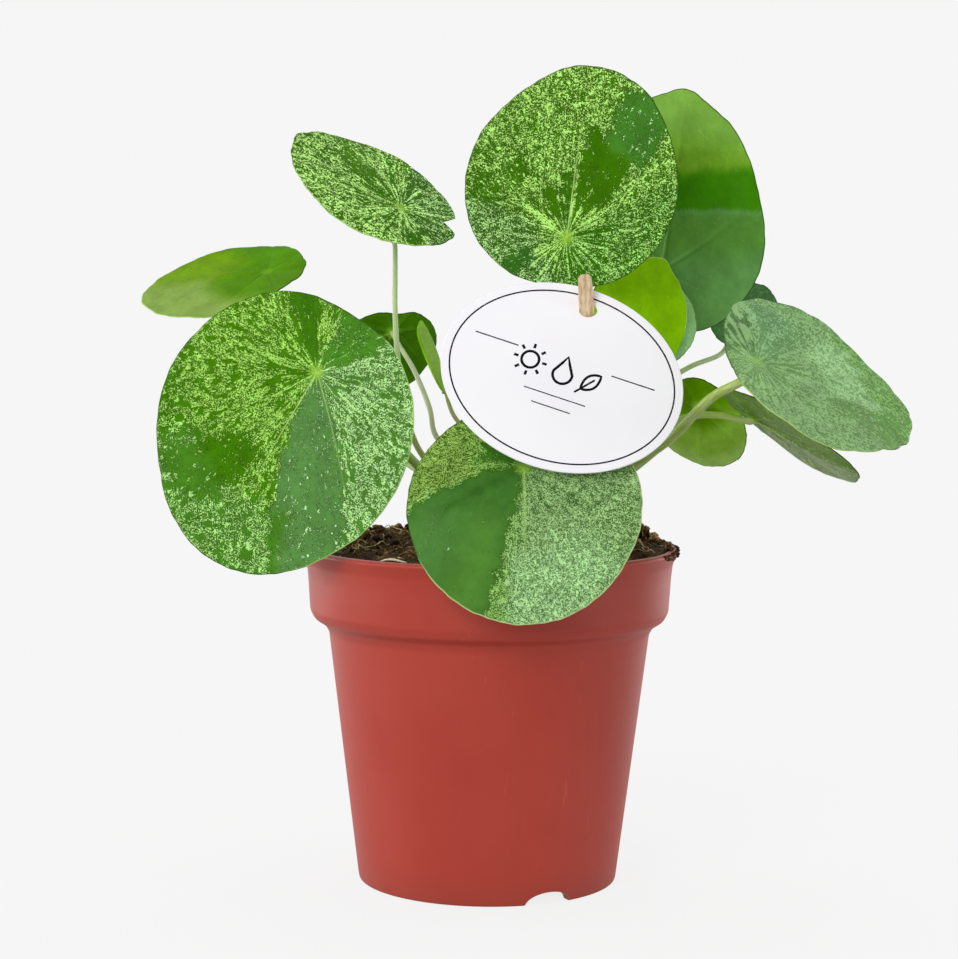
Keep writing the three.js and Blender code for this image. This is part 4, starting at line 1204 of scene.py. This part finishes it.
# A sun, a drop and a leaf, drawn as plain outlines in a row.
SUN_X, SUN_Y = -10.5, 2
stroke(arc(SUN_X, SUN_Y, 2.6, 0, 350, 36), 0.8, closed=True)
for k in range(8):
    ray = Vector((cos(radians(45 * k)), sin(radians(45 * k))))
    stroke([Vector((SUN_X, SUN_Y)) + ray * 3.7, Vector((SUN_X, SUN_Y)) + ray * 5.1], 0.8)
drop = [(0, 6.4), (-1.1, 4.2), (-2.4, 1.9), *arc(0, 0.6, 2.9, 170, 370, 22), (2.4, 1.9), (1.1, 4.2)]
stroke(drop, 0.8, closed=True)
leaf_sign = []
for side in (1, -1):
    for k in range(12):
        t = k / 12 if side == 1 else 1 - k / 12  # out along one side and back along the other
        bulge = 2.3 * side * sin(pi * t) ** 0.8
        leaf_sign.append((6.4 + 4.6 * t + bulge * 0.6, -1.8 + 5.6 * t - bulge * 0.6))
stroke(leaf_sign, 0.75, closed=True)
stroke([(5, -3.4), (6.4, -1.8), (8, 0.2), (9.6, 2.1)], 0.6)
stroke([(-9.5, -6.6), (9.5, -6.6)], 0.32)
stroke([(-6, -10.2), (6, -10.2)], 0.32)
ink_mesh = mesh_of("card_print", on_card(ink_points), ink_faces, 30)
ink, tree = new_material("printing ink, black")
place = place_on(tree)
coverage = stepped(tree, grain(tree, place, 3000, 2), 0.35, 0.7)
finished(tree, Base_Color=blended(tree, coverage, linear(6, 6, 9), linear(22, 22, 27)), Roughness=0.7,
         Specular_IOR_Level=0.1)
piece_of("card_print", ink_mesh, [ink], "card_board")


# Label stick. A flat, bare birch stick with a rounded top, tapered at the end that is pushed
# into the soil. Its grain runs lengthwise, and the card hangs on it by its hole.

STICK_WIDTH, STICK_THICKNESS, STICK_LENGTH = 4.4, 1.6, 133.4
across = Vector((0, 1, 0)).cross(STICK_RUN).normalized()
depth = across.cross(STICK_RUN)


def stick_half(s):
    """Half the stick's width, s millimetres down from its top."""
    half = STICK_WIDTH / 2 - 0.35 * max(0, 1 - s / 5)
    if s < 1.3:
        return half - 1.3 + sqrt(max(0, 1.3**2 - (1.3 - s) ** 2))
    return half if s < STICK_LENGTH - 9 else half + (0.8 - half) * (s - STICK_LENGTH + 9) / 9


stick_stops = [0.02, 0.1, 0.25, 0.5, 0.8, 1.2, 1.7, 2.2, 2.45]
stick_stops += [*range(4, 126, 2), 127, 129, 131, 133, STICK_LENGTH]
stick_points = []
for s in stick_stops:
    half, thick = stick_half(s), STICK_THICKNESS / 2
    corner = min(0.22 * min(1, s / 0.4), half * 0.6)
    low = thick * (0.72 + 0.28 * min(1, s / 0.8))
    outline = [(half, low - corner), (half - corner * 0.3, low - corner * 0.3), (half - corner, low)]
    section = [*outline, *[(-x, y) for x, y in reversed(outline)]]
    section += [(-x, -y) for x, y in section]
    for x, y in section:
        stick_points.append(STICK_TOP + across * x + STICK_RUN * s + depth * y)
stick_points = [STICK_TOP, *stick_points, STICK_TOP + STICK_RUN * STICK_LENGTH]
stick_faces = ring_faces(len(stick_stops), 12)
stick_mesh = mesh_of("stick_birch", stick_points, stick_faces, 50)

birch, tree = new_material("stick wood, bare birch")
place = place_on(tree)
along_grain = vector_of(tree, "MULTIPLY", place, (1, 1, 0.07))
figure = grain(tree, along_grain, 900, 4, 0.6)
pores = stepped(tree, grain(tree, along_grain, 3600, 2, 0.5), 0.58, 0.68)
colour = blended(tree, stepped(tree, figure, 0.35, 0.65), linear(190, 158, 116), linear(234, 212, 178))
colour = blended(tree, times(tree, pores, 0.35), colour, linear(150, 112, 72))
finished(tree, figure, 0.35, 0.0003, Base_Color=colour, Roughness=0.7, Specular_IOR_Level=0.25)
piece_of("stick_birch", stick_mesh, [birch], "stick_wood", "label_stick")


# Floor, light and camera. A pale studio floor that fades into the same pale backdrop. One
# large soft lamp stands at the upper left in front, a small one low at each side and one low
# behind each side, and the rest of the light comes from all around.

BACKDROP = 0.922
floor_points = [(0, 0, 0)]
for radius in (100, 200, 400, 800, 1600, 5000):
    floor_points.extend(circle(radius, 64, way=1))
floor_faces = [face for face in ring_faces(6, 64) if max(face) < len(floor_points)]
floor_mesh = mesh_of("studio_floor", floor_points, floor_faces)
floor = bpy.data.objects.new("studio_floor", floor_mesh)
bpy.context.scene.collection.objects.link(floor)
floor_paint, tree = new_material("studio floor, pale")
place = place_on(tree)
share = stepped(tree, vector_of(tree, "LENGTH", place), 0.05, 0.4, 0.1, 0)
matt = add(tree, "BsdfDiffuse", {"Color": (0.95, 0.95, 0.95, 1)})
first_ray = add(tree, "LightPath").outputs["Is Camera Ray"]
behind = part_of(tree, place, "Y")
strength = stepped(tree, behind, 0, 0.5, 0.5, 0.85)
strength = sum_of(tree, "MAXIMUM", strength, times(tree, first_ray, BACKDROP))
glow = add(tree, "Emission", {"Color": (1, 1, 1, 1), "Strength": strength})
both = add(tree, "MixShader", {0: share, 1: glow.outputs[0], 2: matt.outputs[0]})
add(tree, "OutputMaterial", {"Surface": both.outputs[0]})
floor_mesh.materials.append(floor_paint)

world = bpy.data.worlds.new("studio")
bpy.context.scene.world = world
world.use_nodes = True
tree = world.node_tree
tree.nodes.clear()
seen = add(tree, "Background", {"Color": (1, 1, 1, 1), "Strength": BACKDROP})
sky = add(tree, "TexCoord").outputs["Generated"]
behind = part_of(tree, sky, "Y")
power = stepped(tree, behind, -0.3, 0.3, 0.44, 0.95)
lighting = add(tree, "Background", {"Color": (1, 1, 1, 1), "Strength": power})
first_ray = add(tree, "LightPath").outputs["Is Camera Ray"]
both = add(tree, "MixShader", {0: first_ray, 1: lighting.outputs[0], 2: seen.outputs[0]})
add(tree, "OutputWorld", {"Surface": both.outputs[0]})


def soft_lamp(name, spot, aim, size, power):
    """A round soft lamp that shines from one spot towards another."""
    lamp = bpy.data.lights.new(name, "AREA")
    lamp.shape = "DISK"
    lamp.size = size
    lamp.energy = power
    holder = bpy.data.objects.new(name, lamp)
    holder.location = spot
    holder.rotation_euler = (Vector(aim) - Vector(spot)).to_track_quat("-Z", "Y").to_euler()
    bpy.context.scene.collection.objects.link(holder)


soft_lamp("key_lamp", (-0.7, -1.5, 0.8), (0, 0, 0.13), 1, 16.6)
soft_lamp("right_lamp", (1.4, -0.45, 0.2), (0, 0, 0.08), 0.6, 3.6)
soft_lamp("left_lamp", (-1.4, -0.3, 0.14), (0, 0, 0.07), 0.5, 4)
soft_lamp("right_rim_lamp", (0.95, 1.1, 0.16), (0, 0, 0.08), 0.5, 5)
soft_lamp("left_rim_lamp", (-1.2, 0.85, 0.16), (0, 0, 0.08), 0.6, 7)

# The camera stands where a calibrated view of the photograph puts it.
SENSOR, FOCAL_PIXELS, PHOTO_WIDTH = 36, 2399.4, 958
CAMERA_PLACE, CAMERA_DIP, CAMERA_ROLL = Vector((-3.6432, -762.7, 187.35)), 0.0774, 0.0083
camera_data = bpy.data.cameras.new("camera")
camera_data.sensor_fit = "HORIZONTAL"
camera_data.sensor_width = SENSOR
camera_data.lens = FOCAL_PIXELS * SENSOR / PHOTO_WIDTH
camera_data.clip_start, camera_data.clip_end = 0.02, 30
camera = bpy.data.objects.new("camera", camera_data)
bpy.context.scene.collection.objects.link(camera)
camera.matrix_world = (Matrix.Translation(CAMERA_PLACE * MM)
                       @ Matrix.Rotation(pi / 2 - CAMERA_DIP, 4, "X")
                       @ Matrix.Rotation(CAMERA_ROLL, 4, "Z"))
bpy.context.scene.camera = camera
bpy.context.scene.view_settings.view_transform = "Standard"
